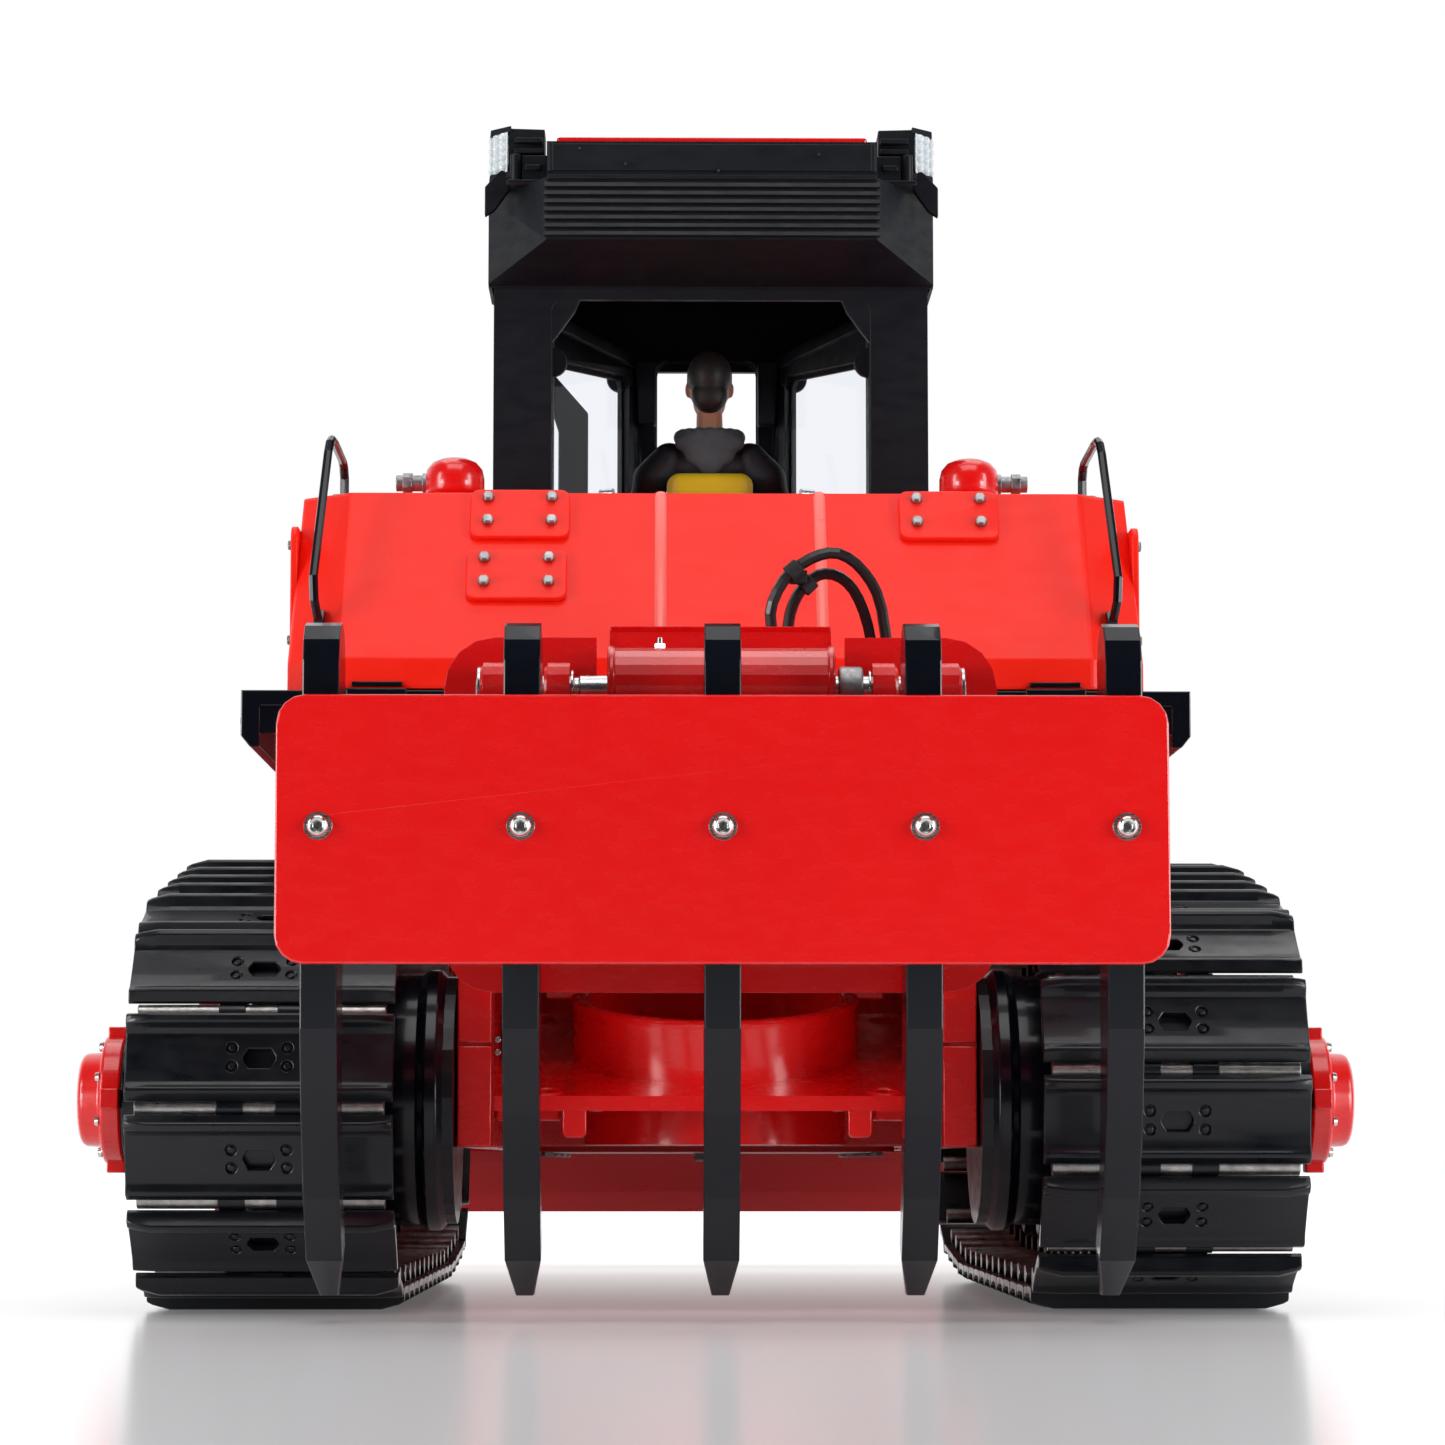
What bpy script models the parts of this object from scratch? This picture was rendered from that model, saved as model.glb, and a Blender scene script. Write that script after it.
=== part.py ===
"""Toy bulldozer, one fourteenth of full size, with a five-shank rear ripper.

Run with: blender --background --python part.py

The lengths below are in millimetres; MM turns them into Blender's metres. X points to the right
of someone who looks at the machine from behind, +Y points forward, towards the blade, and +Z
points up. The origin is on the floor, under the middle of the machine.
"""

import math

import bmesh
import bpy
from mathutils import Matrix, Vector

MM = 0.001
GAP = 0.3  # between pieces that touch on the real machine
SHARP_ANGLE = math.radians(35)

# Undercarriage
TRACK_X = 92.9  # middle of each track
SHOE_WIDTH = 54.2
SHOE_COUNT = 41
TEETH = 12
PIN_CIRCLE = 35.16  # radius of the track pins round the sprocket
SPROCKET_Y, SPROCKET_Z = -148.0, 44.0
IDLER_Z, IDLER_PIN_CIRCLE = 44.5, 31.5
CARRIER_Y, CARRIER_Z = -76.0, 79.7
CARRIER_RADIUS, CARRIER_PIN_CIRCLE = 5.9, 11.5
ROLLER_Z, ROLLER_RADIUS = 18.9, 5.2
ROLLER_YS = (-104.0, -62.0, -20.0, 22.0, 64.0)
LINK_INSIDE, LINK_OUTSIDE = -4.5, 4.7  # from the pin line, inwards and outwards
LINK_ROWS = ((3.4, 8.0), (-8.0, -3.4))  # across the track, from its middle
CHAIN_PHASE = {"left": 2.0, "right": -5.1}  # how far each chain has run on

# Main frame
FRAME_REAR, FRAME_FRONT = -164.0, 158.0
FRAME_HALF_WIDTH = 54.0
FRAME_INNER = 46.5
FRAME_BOTTOM = 34.0
DECK_TOP = 131.2
FRONT_DECK_TOP = 117.0

# Rear housing and cab
HOUSING_HALF_WIDTH = 92.5
HOUSING_REAR, HOUSING_TOP_REAR, HOUSING_FRONT = -147.0, -121.0, -40.0
HOUSING_BOTTOM, HOUSING_BEND, HOUSING_TOP = 131.5, 138.0, 178.0
CAB_REAR, CAB_WAIST, CAB_FRONT = -35.0, -16.0, 74.0
CAB_HALF_WIDTH, CAB_NOSE = 52.6, 19.5
CAB_WALL = 2.5
CAB_TOP = 247.2

# Ripper: four pivots of the parallel linkage, as (Y, Z)
ARM_PIVOT = (-160.0, 80.0)
ARM_END = (-206.0, 80.0)
LINK_PIVOT = (-175.0, 123.0)
LINK_END = (-221.0, 123.0)
RIPPER_TRUNNION = (-170.0, 108.0)
RIPPER_EYE = (-198.0, 86.0)
SHANK_PITCH = 38.2
SHANK_XS = tuple(SHANK_PITCH * step for step in (-2, -1, 0, 1, 2))
SHANK_WIDTH = 7.0
SHANK_REAR, SHANK_FRONT = -246.7, -230.7
SHANK_TOP, TIP_Z = 134.0, 5.0

# Blade: pivots as (Y, Z)
PUSH_PIVOT = (10.0, 42.0)
LIFT_TRUNNION = (130.0, 165.0)
LIFT_EYE = (203.0, 60.0)
LIFT_X = 60.5
BLADE_HALF_WIDTH = 150.0
BLADE_BOTTOM, BLADE_TOP = 16.0, 118.0
BLADE_CURVE_Y, BLADE_CURVE_Z, BLADE_CURVE = 303.0, 66.0, 75.0

# Finishes: linear colour, roughness, metallic
RED = ((0.72, 0.018, 0.012), 0.28, 0.0)
BLACK_GLOSS = ((0.012, 0.014, 0.019), 0.22, 0.0)
BLACK_MATTE = ((0.016, 0.019, 0.024), 0.55, 0.0)
STEEL = ((0.60, 0.60, 0.60), 0.30, 1.0)
YELLOW = ((0.72, 0.50, 0.02), 0.50, 0.0)
HOSE_BLACK = ((0.010, 0.011, 0.014), 0.40, 0.0)
CLOTH_DARK = ((0.020, 0.020, 0.026), 0.80, 0.0)


# ---------------------------------------------------------------- making objects


def clear_scene():
    for obj in list(bpy.data.objects):
        bpy.data.objects.remove(obj, do_unlink=True)


def new_collection(name):
    collection = bpy.data.collections.new(name)
    bpy.context.scene.collection.children.link(collection)
    return collection


def settle(obj):
    """Turns the object's modifiers, or its curve, into a plain closed mesh."""
    graph = bpy.context.evaluated_depsgraph_get()
    mesh = bpy.data.meshes.new_from_object(obj.evaluated_get(graph))
    shape = bmesh.new()
    shape.from_mesh(mesh)
    bmesh.ops.remove_doubles(shape, verts=shape.verts, dist=0.001 * MM)
    bmesh.ops.recalc_face_normals(shape, faces=shape.faces)
    shape.to_mesh(mesh)
    shape.free()
    name = obj.name
    matrix = obj.matrix_world.copy()
    bpy.data.objects.remove(obj, do_unlink=True)
    settled = bpy.data.objects.new(name, mesh)
    settled.matrix_world = matrix
    PARTS.objects.link(settled)
    return settled


def object_from(shape, name):
    """A mesh object from a bmesh drawn in millimetres."""
    bmesh.ops.scale(shape, vec=(MM, MM, MM), verts=shape.verts)
    bmesh.ops.recalc_face_normals(shape, faces=shape.faces)
    mesh = bpy.data.meshes.new(name)
    shape.to_mesh(mesh)
    shape.free()
    obj = bpy.data.objects.new(name, mesh)
    PARTS.objects.link(obj)
    return obj


def box(name, low, high, bevel=0.0):
    shape = bmesh.new()
    middle = (Vector(low) + Vector(high)) / 2
    size = Vector(high) - Vector(low)
    place = Matrix.Translation(middle) @ Matrix.Diagonal((*size, 1.0))
    bmesh.ops.create_cube(shape, size=1.0, matrix=place)
    if bevel:
        bmesh.ops.bevel(shape, geom=shape.edges[:], offset=bevel, segments=1, affect="EDGES")
    return object_from(shape, name)


def rod(name, start, end, radius, end_radius=None, sides=16):
    """A round bar, or a cone, from one point to another."""
    shape = bmesh.new()
    along = Vector(end) - Vector(start)
    turn = along.to_track_quat("Z", "Y").to_matrix().to_4x4()
    place = Matrix.Translation((Vector(start) + Vector(end)) / 2) @ turn
    bmesh.ops.create_cone(
        shape,
        cap_ends=True,
        segments=sides,
        radius1=radius,
        radius2=radius if end_radius is None else end_radius,
        depth=along.length,
        matrix=place,
    )
    return object_from(shape, name)


def ball(name, middle, radii):
    shape = bmesh.new()
    place = Matrix.Translation(middle) @ Matrix.Diagonal((*radii, 1.0))
    bmesh.ops.create_uvsphere(shape, u_segments=12, v_segments=8, radius=1.0, matrix=place)
    return object_from(shape, name)


SIDES = {
    "X": Matrix(((0, 0, 1, 0), (1, 0, 0, 0), (0, 1, 0, 0), (0, 0, 0, 1))),
    "Y": Matrix(((1, 0, 0, 0), (0, 0, -1, 0), (0, 1, 0, 0), (0, 0, 0, 1))),
    "Z": Matrix.Identity(4),
}


def plate(name, rings, side, low, high):
    """Flat rings, filled where they don't lie inside one another, from low to high along a side.

    Across X the rings are (Y, Z) pairs, across Y they are (X, Z) and across Z they are (X, Y).
    """
    curve = bpy.data.curves.new(name, "CURVE")
    curve.dimensions = "2D"
    curve.fill_mode = "BOTH"
    curve.extrude = (high - low) / 2 * MM
    for ring in rings:
        spline = curve.splines.new("POLY")
        spline.points.add(len(ring) - 1)
        for point, (across, up) in zip(spline.points, ring):
            point.co = (across * MM, up * MM, 0.0, 1.0)
        spline.use_cyclic_u = True
    obj = bpy.data.objects.new(name, curve)
    PARTS.objects.link(obj)
    offset = Vector([(low + high) / 2 * MM if axis == side else 0.0 for axis in "XYZ"])
    obj.matrix_world = Matrix.Translation(offset) @ SIDES[side]
    bpy.context.view_layer.update()
    settled = settle(obj)
    settled.data.transform(settled.matrix_world)
    settled.matrix_world = Matrix.Identity(4)
    return settled


def tube(name, route, radius):
    """A round wire or hose along a route of points."""
    curve = bpy.data.curves.new(name, "CURVE")
    curve.dimensions = "3D"
    curve.bevel_depth = radius * MM
    curve.bevel_resolution = 2
    curve.use_fill_caps = True
    spline = curve.splines.new("POLY")
    spline.points.add(len(route) - 1)
    for point, place in zip(spline.points, route):
        point.co = (*(Vector(place) * MM), 1.0)
    obj = bpy.data.objects.new(name, curve)
    PARTS.objects.link(obj)
    return settle(obj)


def turned(name, profile, start, direction, steps=24):
    """A profile of (along, radius) pairs turned about the line from start in a direction.

    The profile runs from its farthest point along the line to its nearest. One that doesn't
    begin and end on the line is closed into a ring.
    """
    is_ring = profile[0][1] > 0
    points = [(radius * MM, 0.0, along * MM) for along, radius in profile]
    edges = [(index, index + 1) for index in range(len(points) - 1)]
    if is_ring:
        edges.append((len(points) - 1, 0))
    mesh = bpy.data.meshes.new(name)
    mesh.from_pydata(points, edges, [])
    obj = bpy.data.objects.new(name, mesh)
    PARTS.objects.link(obj)
    screw = obj.modifiers.new("turn", "SCREW")
    screw.steps = steps
    screw.render_steps = steps
    screw.use_merge_vertices = True
    screw.merge_threshold = 0.00001
    turn = Vector(direction).to_track_quat("Z", "Y").to_matrix().to_4x4()
    settled = settle(obj)
    settled.data.transform(Matrix.Translation(Vector(start) * MM) @ turn)
    return settled


def loft(name, rings, closed=True):
    """A skin over rings of points that match one to one, capped at both ends."""
    shape = bmesh.new()
    rows = [[shape.verts.new(point) for point in ring] for ring in rings]
    for below, above in zip(rows, rows[1:]):
        count = len(below)
        for index in range(count if closed else count - 1):
            after = (index + 1) % count
            shape.faces.new((below[index], below[after], above[after], above[index]))
    shape.faces.new(rows[0][::-1])
    shape.faces.new(rows[-1])
    return object_from(shape, name)


def combine(target, others, operation):
    """Joins other objects to the target, or cuts them out of it, and removes them."""
    for other in others:
        modifier = target.modifiers.new(operation, "BOOLEAN")
        modifier.operation = operation
        modifier.solver = "EXACT"
        modifier.object = other
    settled = settle(target)
    for other in others:
        bpy.data.objects.remove(other, do_unlink=True)
    return settled


def join(target, *others):
    return combine(target, others, "UNION")


def cut(target, *others):
    return combine(target, others, "DIFFERENCE")


def finish(obj, name, look, origin=(0.0, 0.0, 0.0)):
    """Names a piece, gives it its finish, and puts its origin on its joint's axis."""
    colour, roughness, metallic = look
    material = bpy.data.materials.new(name + "_finish")
    material.use_nodes = True
    shader = material.node_tree.nodes["Principled BSDF"]
    shader.inputs["Base Color"].default_value = (*colour, 1.0)
    shader.inputs["Roughness"].default_value = roughness
    shader.inputs["Metallic"].default_value = metallic
    obj.name = name
    obj.data.name = name
    obj.data.materials.clear()
    obj.data.materials.append(material)
    obj.data.shade_smooth()
    obj.data.set_sharp_from_angle(angle=SHARP_ANGLE)
    place = Vector(origin) * MM
    obj.data.transform(Matrix.Translation(-place))
    obj.location = place
    return obj


# ---------------------------------------------------------------- outlines


def arc(middle, radius, start, stop, steps):
    """Points on an arc, from one angle to another, in degrees."""
    points = []
    for step in range(steps + 1):
        angle = math.radians(start + (stop - start) * step / steps)
        points.append((middle[0] + radius * math.cos(angle), middle[1] + radius * math.sin(angle)))
    return points


def circle(middle, radius, sides=16):
    return arc(middle, radius, 0.0, 360.0, sides)[:-1]


def rectangle(low, high, radius=0.0, steps=3):
    """A rectangle with rounded corners."""
    if not radius:
        return [low, (high[0], low[1]), high, (low[0], high[1])]
    near, far = low[0] + radius, high[0] - radius
    bottom, top = low[1] + radius, high[1] - radius
    return (
        arc((far, bottom), radius, -90, 0, steps)
        + arc((far, top), radius, 0, 90, steps)
        + arc((near, top), radius, 90, 180, steps)
        + arc((near, bottom), radius, 180, 270, steps)
    )


def both_sides(points):
    """A left half added to an outline's right half, which runs from the back to the front."""
    return points + [(-across, along) for across, along in reversed(points)]


# ---------------------------------------------------------------- tracks


def belt_circles(idler_y):
    """What the chain's pins run round, anticlockwise from the sprocket: (Y, Z, radius)."""
    return (
        (SPROCKET_Y, SPROCKET_Z, PIN_CIRCLE),
        (ROLLER_YS[-1], ROLLER_Z, ROLLER_Z - SPROCKET_Z + PIN_CIRCLE),
        (idler_y, IDLER_Z, IDLER_PIN_CIRCLE),
        (CARRIER_Y, CARRIER_Z, CARRIER_PIN_CIRCLE),
    )


def belt_runs(circles):
    """Arcs and straights of a belt round circles, each as a length and a function of distance."""
    count = len(circles)
    normals = []
    for index, (y, z, radius) in enumerate(circles):
        next_y, next_z, next_radius = circles[(index + 1) % count]
        span = math.hypot(next_y - y, next_z - z)
        heading = math.atan2(next_z - z, next_y - y)
        normals.append(heading - math.acos((radius - next_radius) / span))
    runs = []
    for index, (y, z, radius) in enumerate(circles):
        start = normals[index - 1]
        sweep = (normals[index] - start) % math.tau
        leave = Vector((math.cos(normals[index]), math.sin(normals[index])))
        next_y, next_z, next_radius = circles[(index + 1) % count]
        begin = Vector((y, z)) + leave * radius
        end = Vector((next_y, next_z)) + leave * next_radius
        runs.append((radius * sweep, ("arc", Vector((y, z)), radius, start)))
        runs.append(((end - begin).length, ("line", begin, (end - begin).normalized())))
    return runs


def belt_length(idler_y):
    return sum(length for length, _ in belt_runs(belt_circles(idler_y)))


def tensioned_idler():
    """How far forward the idler sits for the chain's links to fill its path."""
    wanted = SHOE_COUNT * math.tau * PIN_CIRCLE / TEETH
    near, far = 80.0, 160.0
    for _ in range(40):
        middle = (near + far) / 2
        if belt_length(middle) < wanted:
            near = middle
        else:
            far = middle
    return near


IDLER_Y = tensioned_idler()


def chain_pins(phase):
    """Where each pin's axis crosses the YZ plane, in order along the chain."""
    runs = belt_runs(belt_circles(IDLER_Y))
    total = sum(length for length, _ in runs)
    start = runs[0][0] + phase
    pins = []
    for index in range(SHOE_COUNT):
        distance = (start + index * total / SHOE_COUNT) % total
        for length, run in runs:
            if distance <= length:
                break
            distance -= length
        if run[0] == "arc":
            angle = run[3] + distance / run[2]
            pins.append(run[1] + Vector((math.cos(angle), math.sin(angle))) * run[2])
        else:
            pins.append(run[1] + run[2] * distance)
    return pins


def shoe_outline(pin, after):
    """One shoe between two pins: a flat plate, a tall grouser behind and a low lip in front."""
    along = (after - pin).normalized()
    outward = Vector((along.y, -along.x))
    middle = (pin + after) / 2
    profile = (
        (-7.6, 4.2), (7.6, 4.2), (7.6, 6.9), (6.4, 6.9),
        (6.0, 5.9), (-5.4, 5.9), (-6.2, 8.84), (-7.6, 8.84),
    )
    return [tuple(middle + along * t + outward * n) for t, n in profile]


def link_loop(pins, offset):
    """The chain's edge, at a distance outside the pin line, with a corner where it bends."""
    loop = []
    for index, pin in enumerate(pins):
        before = (pin - pins[index - 1]).normalized()
        after = (pins[(index + 1) % len(pins)] - pin).normalized()
        if before.angle(after) > math.radians(0.2):
            along = (before + after).normalized()
            loop.append(tuple(pin + Vector((along.y, -along.x)) * offset))
    return loop


def make_chain(side, sign):
    pins = chain_pins(CHAIN_PHASE[side])
    shoes = [shoe_outline(pin, pins[(index + 1) % len(pins)]) for index, pin in enumerate(pins)]
    middle = sign * TRACK_X
    half = SHOE_WIDTH / 2
    chain = plate("shoes", shoes, "X", middle - half, middle + half)
    rails = [link_loop(pins, LINK_OUTSIDE), link_loop(pins, LINK_INSIDE)]
    rows = [plate("rail", rails, "X", middle + low, middle + high) for low, high in LINK_ROWS]
    finish(join(chain, *rows), "track_chain_" + side, BLACK_GLOSS)


def make_sprocket(side, sign):
    """A toothed disc with its hub, which reaches out through the chain to a round cap."""
    step = 360.0 / TEETH
    first = -90.0 + math.degrees(CHAIN_PHASE[side] / PIN_CIRCLE) + step / 2
    outline = []
    for tooth in range(TEETH):
        at = first + tooth * step
        for turn, radius in ((-9.5, 27.5), (-4.0, 31.6), (4.0, 31.6), (9.5, 27.5)):
            angle = math.radians(at + turn)
            y = SPROCKET_Y + radius * math.cos(angle)
            z = SPROCKET_Z + radius * math.sin(angle)
            outline.append((y, z))
    low, high = sorted((sign * 90.2, sign * 95.6))
    disc = plate("disc", [outline], "X", low, high)
    profile = (
        (133.4, 0.0), (133.4, 8.2), (132.2, 9.7), (129.0, 9.7), (129.0, 13.25),
        (124.0, 13.25), (124.0, 12.0), (97.0, 12.0), (97.0, 22.0), (88.8, 22.0),
        (88.8, 14.0), (84.8, 14.0), (84.8, 0.0),
    )
    hub = turned("hub", profile, (0, SPROCKET_Y, SPROCKET_Z), (sign, 0, 0))
    origin = (sign * TRACK_X, SPROCKET_Y, SPROCKET_Z)
    finish(join(hub, disc), "sprocket_" + side, RED, origin)


def make_idler(side, sign):
    profile = (
        (106.0, 0.0), (106.0, 4.0), (102.2, 4.0), (102.2, 22.0), (101.4, 25.4), (95.9, 25.4),
        (95.6, 28.6), (90.2, 28.6), (89.9, 25.4), (84.4, 25.4), (83.6, 22.0), (83.6, 4.0),
        (79.8, 4.0), (79.8, 0.0),
    )
    idler = turned("idler", profile, (0, IDLER_Y, IDLER_Z), (sign, 0, 0))
    finish(idler, "idler_" + side, BLACK_GLOSS, (sign * TRACK_X, IDLER_Y, IDLER_Z))


def make_carrier_roller(side, sign):
    profile = (
        (102.0, 0.0), (102.0, CARRIER_RADIUS), (83.9, CARRIER_RADIUS), (83.9, 2.5),
        (80.7, 2.5), (80.7, 0.0),
    )
    roller = turned("roller", profile, (0, CARRIER_Y, CARRIER_Z), (sign, 0, 0), 16)
    origin = (sign * TRACK_X, CARRIER_Y, CARRIER_Z)
    finish(roller, "carrier_roller_" + side, BLACK_GLOSS, origin)


def make_track_frame(side, sign):
    """The beam inside the chain, with the final drive case, the idler's fork and the rollers."""

    def across(low, high):
        return sorted((sign * low, sign * high))

    beam_low, beam_high = across(79.8, 106.0)
    beam = box("beam", (beam_low, -112, 22), (beam_high, 84, 56))
    fork_outline = rectangle((60, 36), (IDLER_Y + 9, 53), 6)
    fork = []
    for low, high in (across(79.5, 82.9), across(102.9, 106.3)):
        fork.append(plate("fork", [fork_outline], "X", low, high))
    bracket_outline = [(-88, 50), (-64, 50), (-70.5, 82)] + arc(
        (CARRIER_Y, CARRIER_Z), 6.0, 25, 155, 4
    )
    low, high = across(79.8, 83.3)
    bracket = plate("bracket", [bracket_outline], "X", low, high)
    case = rod(
        "case",
        (sign * (FRAME_HALF_WIDTH + GAP + 0.2), SPROCKET_Y, SPROCKET_Z),
        (sign * 84.5, SPROCKET_Y, SPROCKET_Z),
        26.0,
        sides=32,
    )
    low, high = across(70, 84)
    bridge = box("bridge", (low, -138, 30), (high, -104, 56))
    rollers = []
    for y in ROLLER_YS:
        start = (sign * (TRACK_X - 9), y, ROLLER_Z)
        end = (sign * (TRACK_X + 9), y, ROLLER_Z)
        rollers.append(rod("roller", start, end, ROLLER_RADIUS, sides=12))
    pivot_start = (sign * 104, *PUSH_PIVOT)
    pivot = rod("pivot", pivot_start, (sign * 131.6, *PUSH_PIVOT), 4.0)
    frame = join(beam, *fork, bracket, case, bridge, *rollers, pivot)
    axle = rod("axle", (sign * 70, IDLER_Y, IDLER_Z), (sign * 120, IDLER_Y, IDLER_Z), 4.3)
    roller_axle = rod(
        "roller_axle", (sign * 79, CARRIER_Y, CARRIER_Z), (sign * 90, CARRIER_Y, CARRIER_Z), 2.8
    )
    finish(cut(frame, axle, roller_axle), "track_frame_" + side, BLACK_MATTE)


# ---------------------------------------------------------------- main frame


def make_main_frame():
    """Side plates, belly, decks and the brackets that carry the ripper and the blade."""
    side_outline = [
        (FRAME_REAR, FRAME_BOTTOM), (130, FRAME_BOTTOM), (FRAME_FRONT, 50),
        (FRAME_FRONT, FRONT_DECK_TOP), (CAB_FRONT + 1, FRONT_DECK_TOP),
        (CAB_FRONT + 1, DECK_TOP), (-146, DECK_TOP), (-146, 117), (FRAME_REAR, 117),
    ]
    pivot_hole = circle(ARM_PIVOT, 2.8, 12)
    sides = []
    for sign in (-1, 1):
        low, high = sorted((sign * FRAME_INNER, sign * FRAME_HALF_WIDTH))
        sides.append(plate("side", [side_outline, pivot_hole], "X", low, high))
    inner = FRAME_INNER + 1
    slope = [(FRAME_REAR + 0.5, 41.5), (-74, 61.7), (-74, 64.8), (FRAME_REAR + 0.5, 44.6)]
    belly_slope = plate("belly_slope", [slope], "X", -inner, inner)
    pieces = [
        sides[1],
        belly_slope,
        box("belly_step", (-inner, -77.5, 35), (inner, -73, 63.5)),
        rod("belly_drum", (0, -119, FRAME_BOTTOM + 0.6), (0, -119, 52), 28.5, sides=32),
        box("belly", (-inner, -76, FRAME_BOTTOM + 0.5), (inner, 128, 38)),
        box("rear_wall", (-inner, -150, 88), (inner, -145.5, 128)),
        box("deck", (-inner, -149, 125.5), (inner, CAB_FRONT, DECK_TOP - 0.4)),
        box("front_deck", (-inner, CAB_FRONT - 4, 111), (inner, FRAME_FRONT - 1, 116.5)),
        box("front_wall", (-inner, FRAME_FRONT - 5, 45), (inner, FRAME_FRONT - 0.5, 115)),
    ]
    hinge_outline = [
        (-147, 98), (-147, 130), (-172, 129.5), (-180, 127), (-181.5, 122),
        (-178, 116), (-176, 104), (-169, 101),
    ]
    hinge_holes = [circle(LINK_PIVOT, 2.4, 12), circle(RIPPER_TRUNNION, 2.2, 12)]
    for low, high in ((-10.8, -6.8), (6.8, 10.8)):
        pieces.append(plate("hinge", [hinge_outline, *hinge_holes], "X", low, high))
    post_outline = [(112, 100), (146, 100), (139, 169), (135, 172), (125, 172), (121, 169)]
    for sign in (-1, 1):
        low, high = sorted((sign * 43, sign * 48))
        pieces.append(plate("post", [post_outline], "X", low, high))
        start = (sign * 46, *LIFT_TRUNNION)
        pieces.append(rod("trunnion", start, (sign * 68, *LIFT_TRUNNION), 2.2, sides=12))
    frame = join(sides[0], *pieces)

    lean = math.atan2(20.2, 89.5)
    normal = Vector((0.0, -math.sin(lean), math.cos(lean)))
    middle = Vector((0.0, -121.5, 54.1))
    rim_profile = ((-1.5, 27.7), (12.8, 27.7), (12.8, 31.1), (-1.5, 31.1))
    frame = join(frame, turned("cup", rim_profile, middle, normal, 32))
    inside = rod("inside", middle + normal * 0.2, middle + normal * 20, 27.6, sides=32)
    holes = [inside]
    for x, along in ((-35.4, -39), (34.8, -39), (-38.7, 40), (38.7, 40)):
        place = middle + Vector((x, along * math.cos(lean), along * math.sin(lean)))
        holes.append(rod("hole", place - normal * 9, place + normal * 9, 2.4, sides=12))
    finish(cut(frame, *holes), "main_frame", RED)


def make_fender(side, sign):
    """A black platform over the track, with a skirt along its outer edge."""
    outline = [
        (54.3, 127.8), (97.5, 127.8), (97.5, 119.0), (99.5, 119.0), (101.5, 121.5),
        (101.5, DECK_TOP), (54.3, DECK_TOP),
    ]
    if sign < 0:
        outline = [(-across, up) for across, up in outline]
    fender = plate("fender", [outline], "Y", -147, 60)
    skirts = []
    low, high = sorted((sign * 56, sign * 99))
    for start in (-146.5, 57):
        skirts.append(box("skirt", (low, start, 122), (high, start + 2.5, 129)))
    finish(join(fender, *skirts), "fender_" + side, BLACK_GLOSS)


# ---------------------------------------------------------------- housing


def housing_ring(rear, half_width, height, inset=0.0):
    corner, back = 80.8 - inset, rear + inset
    half = half_width - inset
    front = HOUSING_FRONT - inset
    half_ring = [(corner, back), (half, back + 9.0), (half, front)]
    return [(x, y, height) for x, y in both_sides(half_ring)]


def make_rear_housing():
    """A folded sheet cover with a sloping back and angled rear corners, open below."""
    wall = 2.0
    outer = loft(
        "outer",
        [
            housing_ring(HOUSING_REAR, HOUSING_HALF_WIDTH, HOUSING_BOTTOM),
            housing_ring(HOUSING_REAR, HOUSING_HALF_WIDTH, HOUSING_BEND),
            housing_ring(HOUSING_TOP_REAR, HOUSING_HALF_WIDTH - 1, HOUSING_TOP),
        ],
    )
    inner = loft(
        "inner",
        [
            housing_ring(HOUSING_REAR, HOUSING_HALF_WIDTH, HOUSING_BOTTOM - 5, wall),
            housing_ring(HOUSING_REAR, HOUSING_HALF_WIDTH, HOUSING_BEND - 0.5, wall),
            housing_ring(HOUSING_TOP_REAR - 1.5, HOUSING_HALF_WIDTH - 1, HOUSING_TOP - wall, wall),
        ],
    )
    finish(cut(outer, inner), "rear_housing", RED)


def make_cover_plates():
    """Small bolted covers that lie on the sloping back of the housing."""
    run, rise = HOUSING_TOP_REAR - HOUSING_REAR, HOUSING_TOP - HOUSING_BEND
    slope = math.atan2(rise, run)
    length = math.hypot(run, rise)
    tilt = Matrix.Rotation(slope, 4, "X")
    foot = Vector((0.0, HOUSING_REAR, HOUSING_BEND))
    for number, (x, up) in enumerate(((-42.9, 7.3), (-43.3, 25.0), (51.3, 7.5)), 1):
        sheet = plate("cover", [rectangle((x - 10.9, -6.9), (x + 10.9, 6.9), 2.0)], "Z", 0.3, 1.5)
        along = (length - up) / length
        place = foot + Vector((0.0, run, rise)) * along
        sheet.data.transform(Matrix.Translation(place * MM) @ tilt)
        finish(sheet, f"cover_plate_{number}", RED)


def make_handrail(side, sign):
    """A wire rail from the housing's sloping corner up and over to its top."""
    route = [
        (85.6, -139.8, 146.9), (85.9, -141.9, 148.2), (86.3, -144.4, 151.0), (86.5, -144.6, 156.0),
        (84.9, -128.5, 185.5), (84.7, -126.5, 188.0), (84.5, -123.5, 189.3), (84.2, -120.0, 189.3),
        (83.8, -101.5, 188.2), (83.7, -98.6, 187.2), (83.6, -97.2, 184.8), (83.6, -97.0, 178.4),
    ]
    rail = tube("rail", [(sign * x, y, z) for x, y, z in route], 1.0)
    finish(rail, "handrail_" + side, BLACK_GLOSS)


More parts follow.
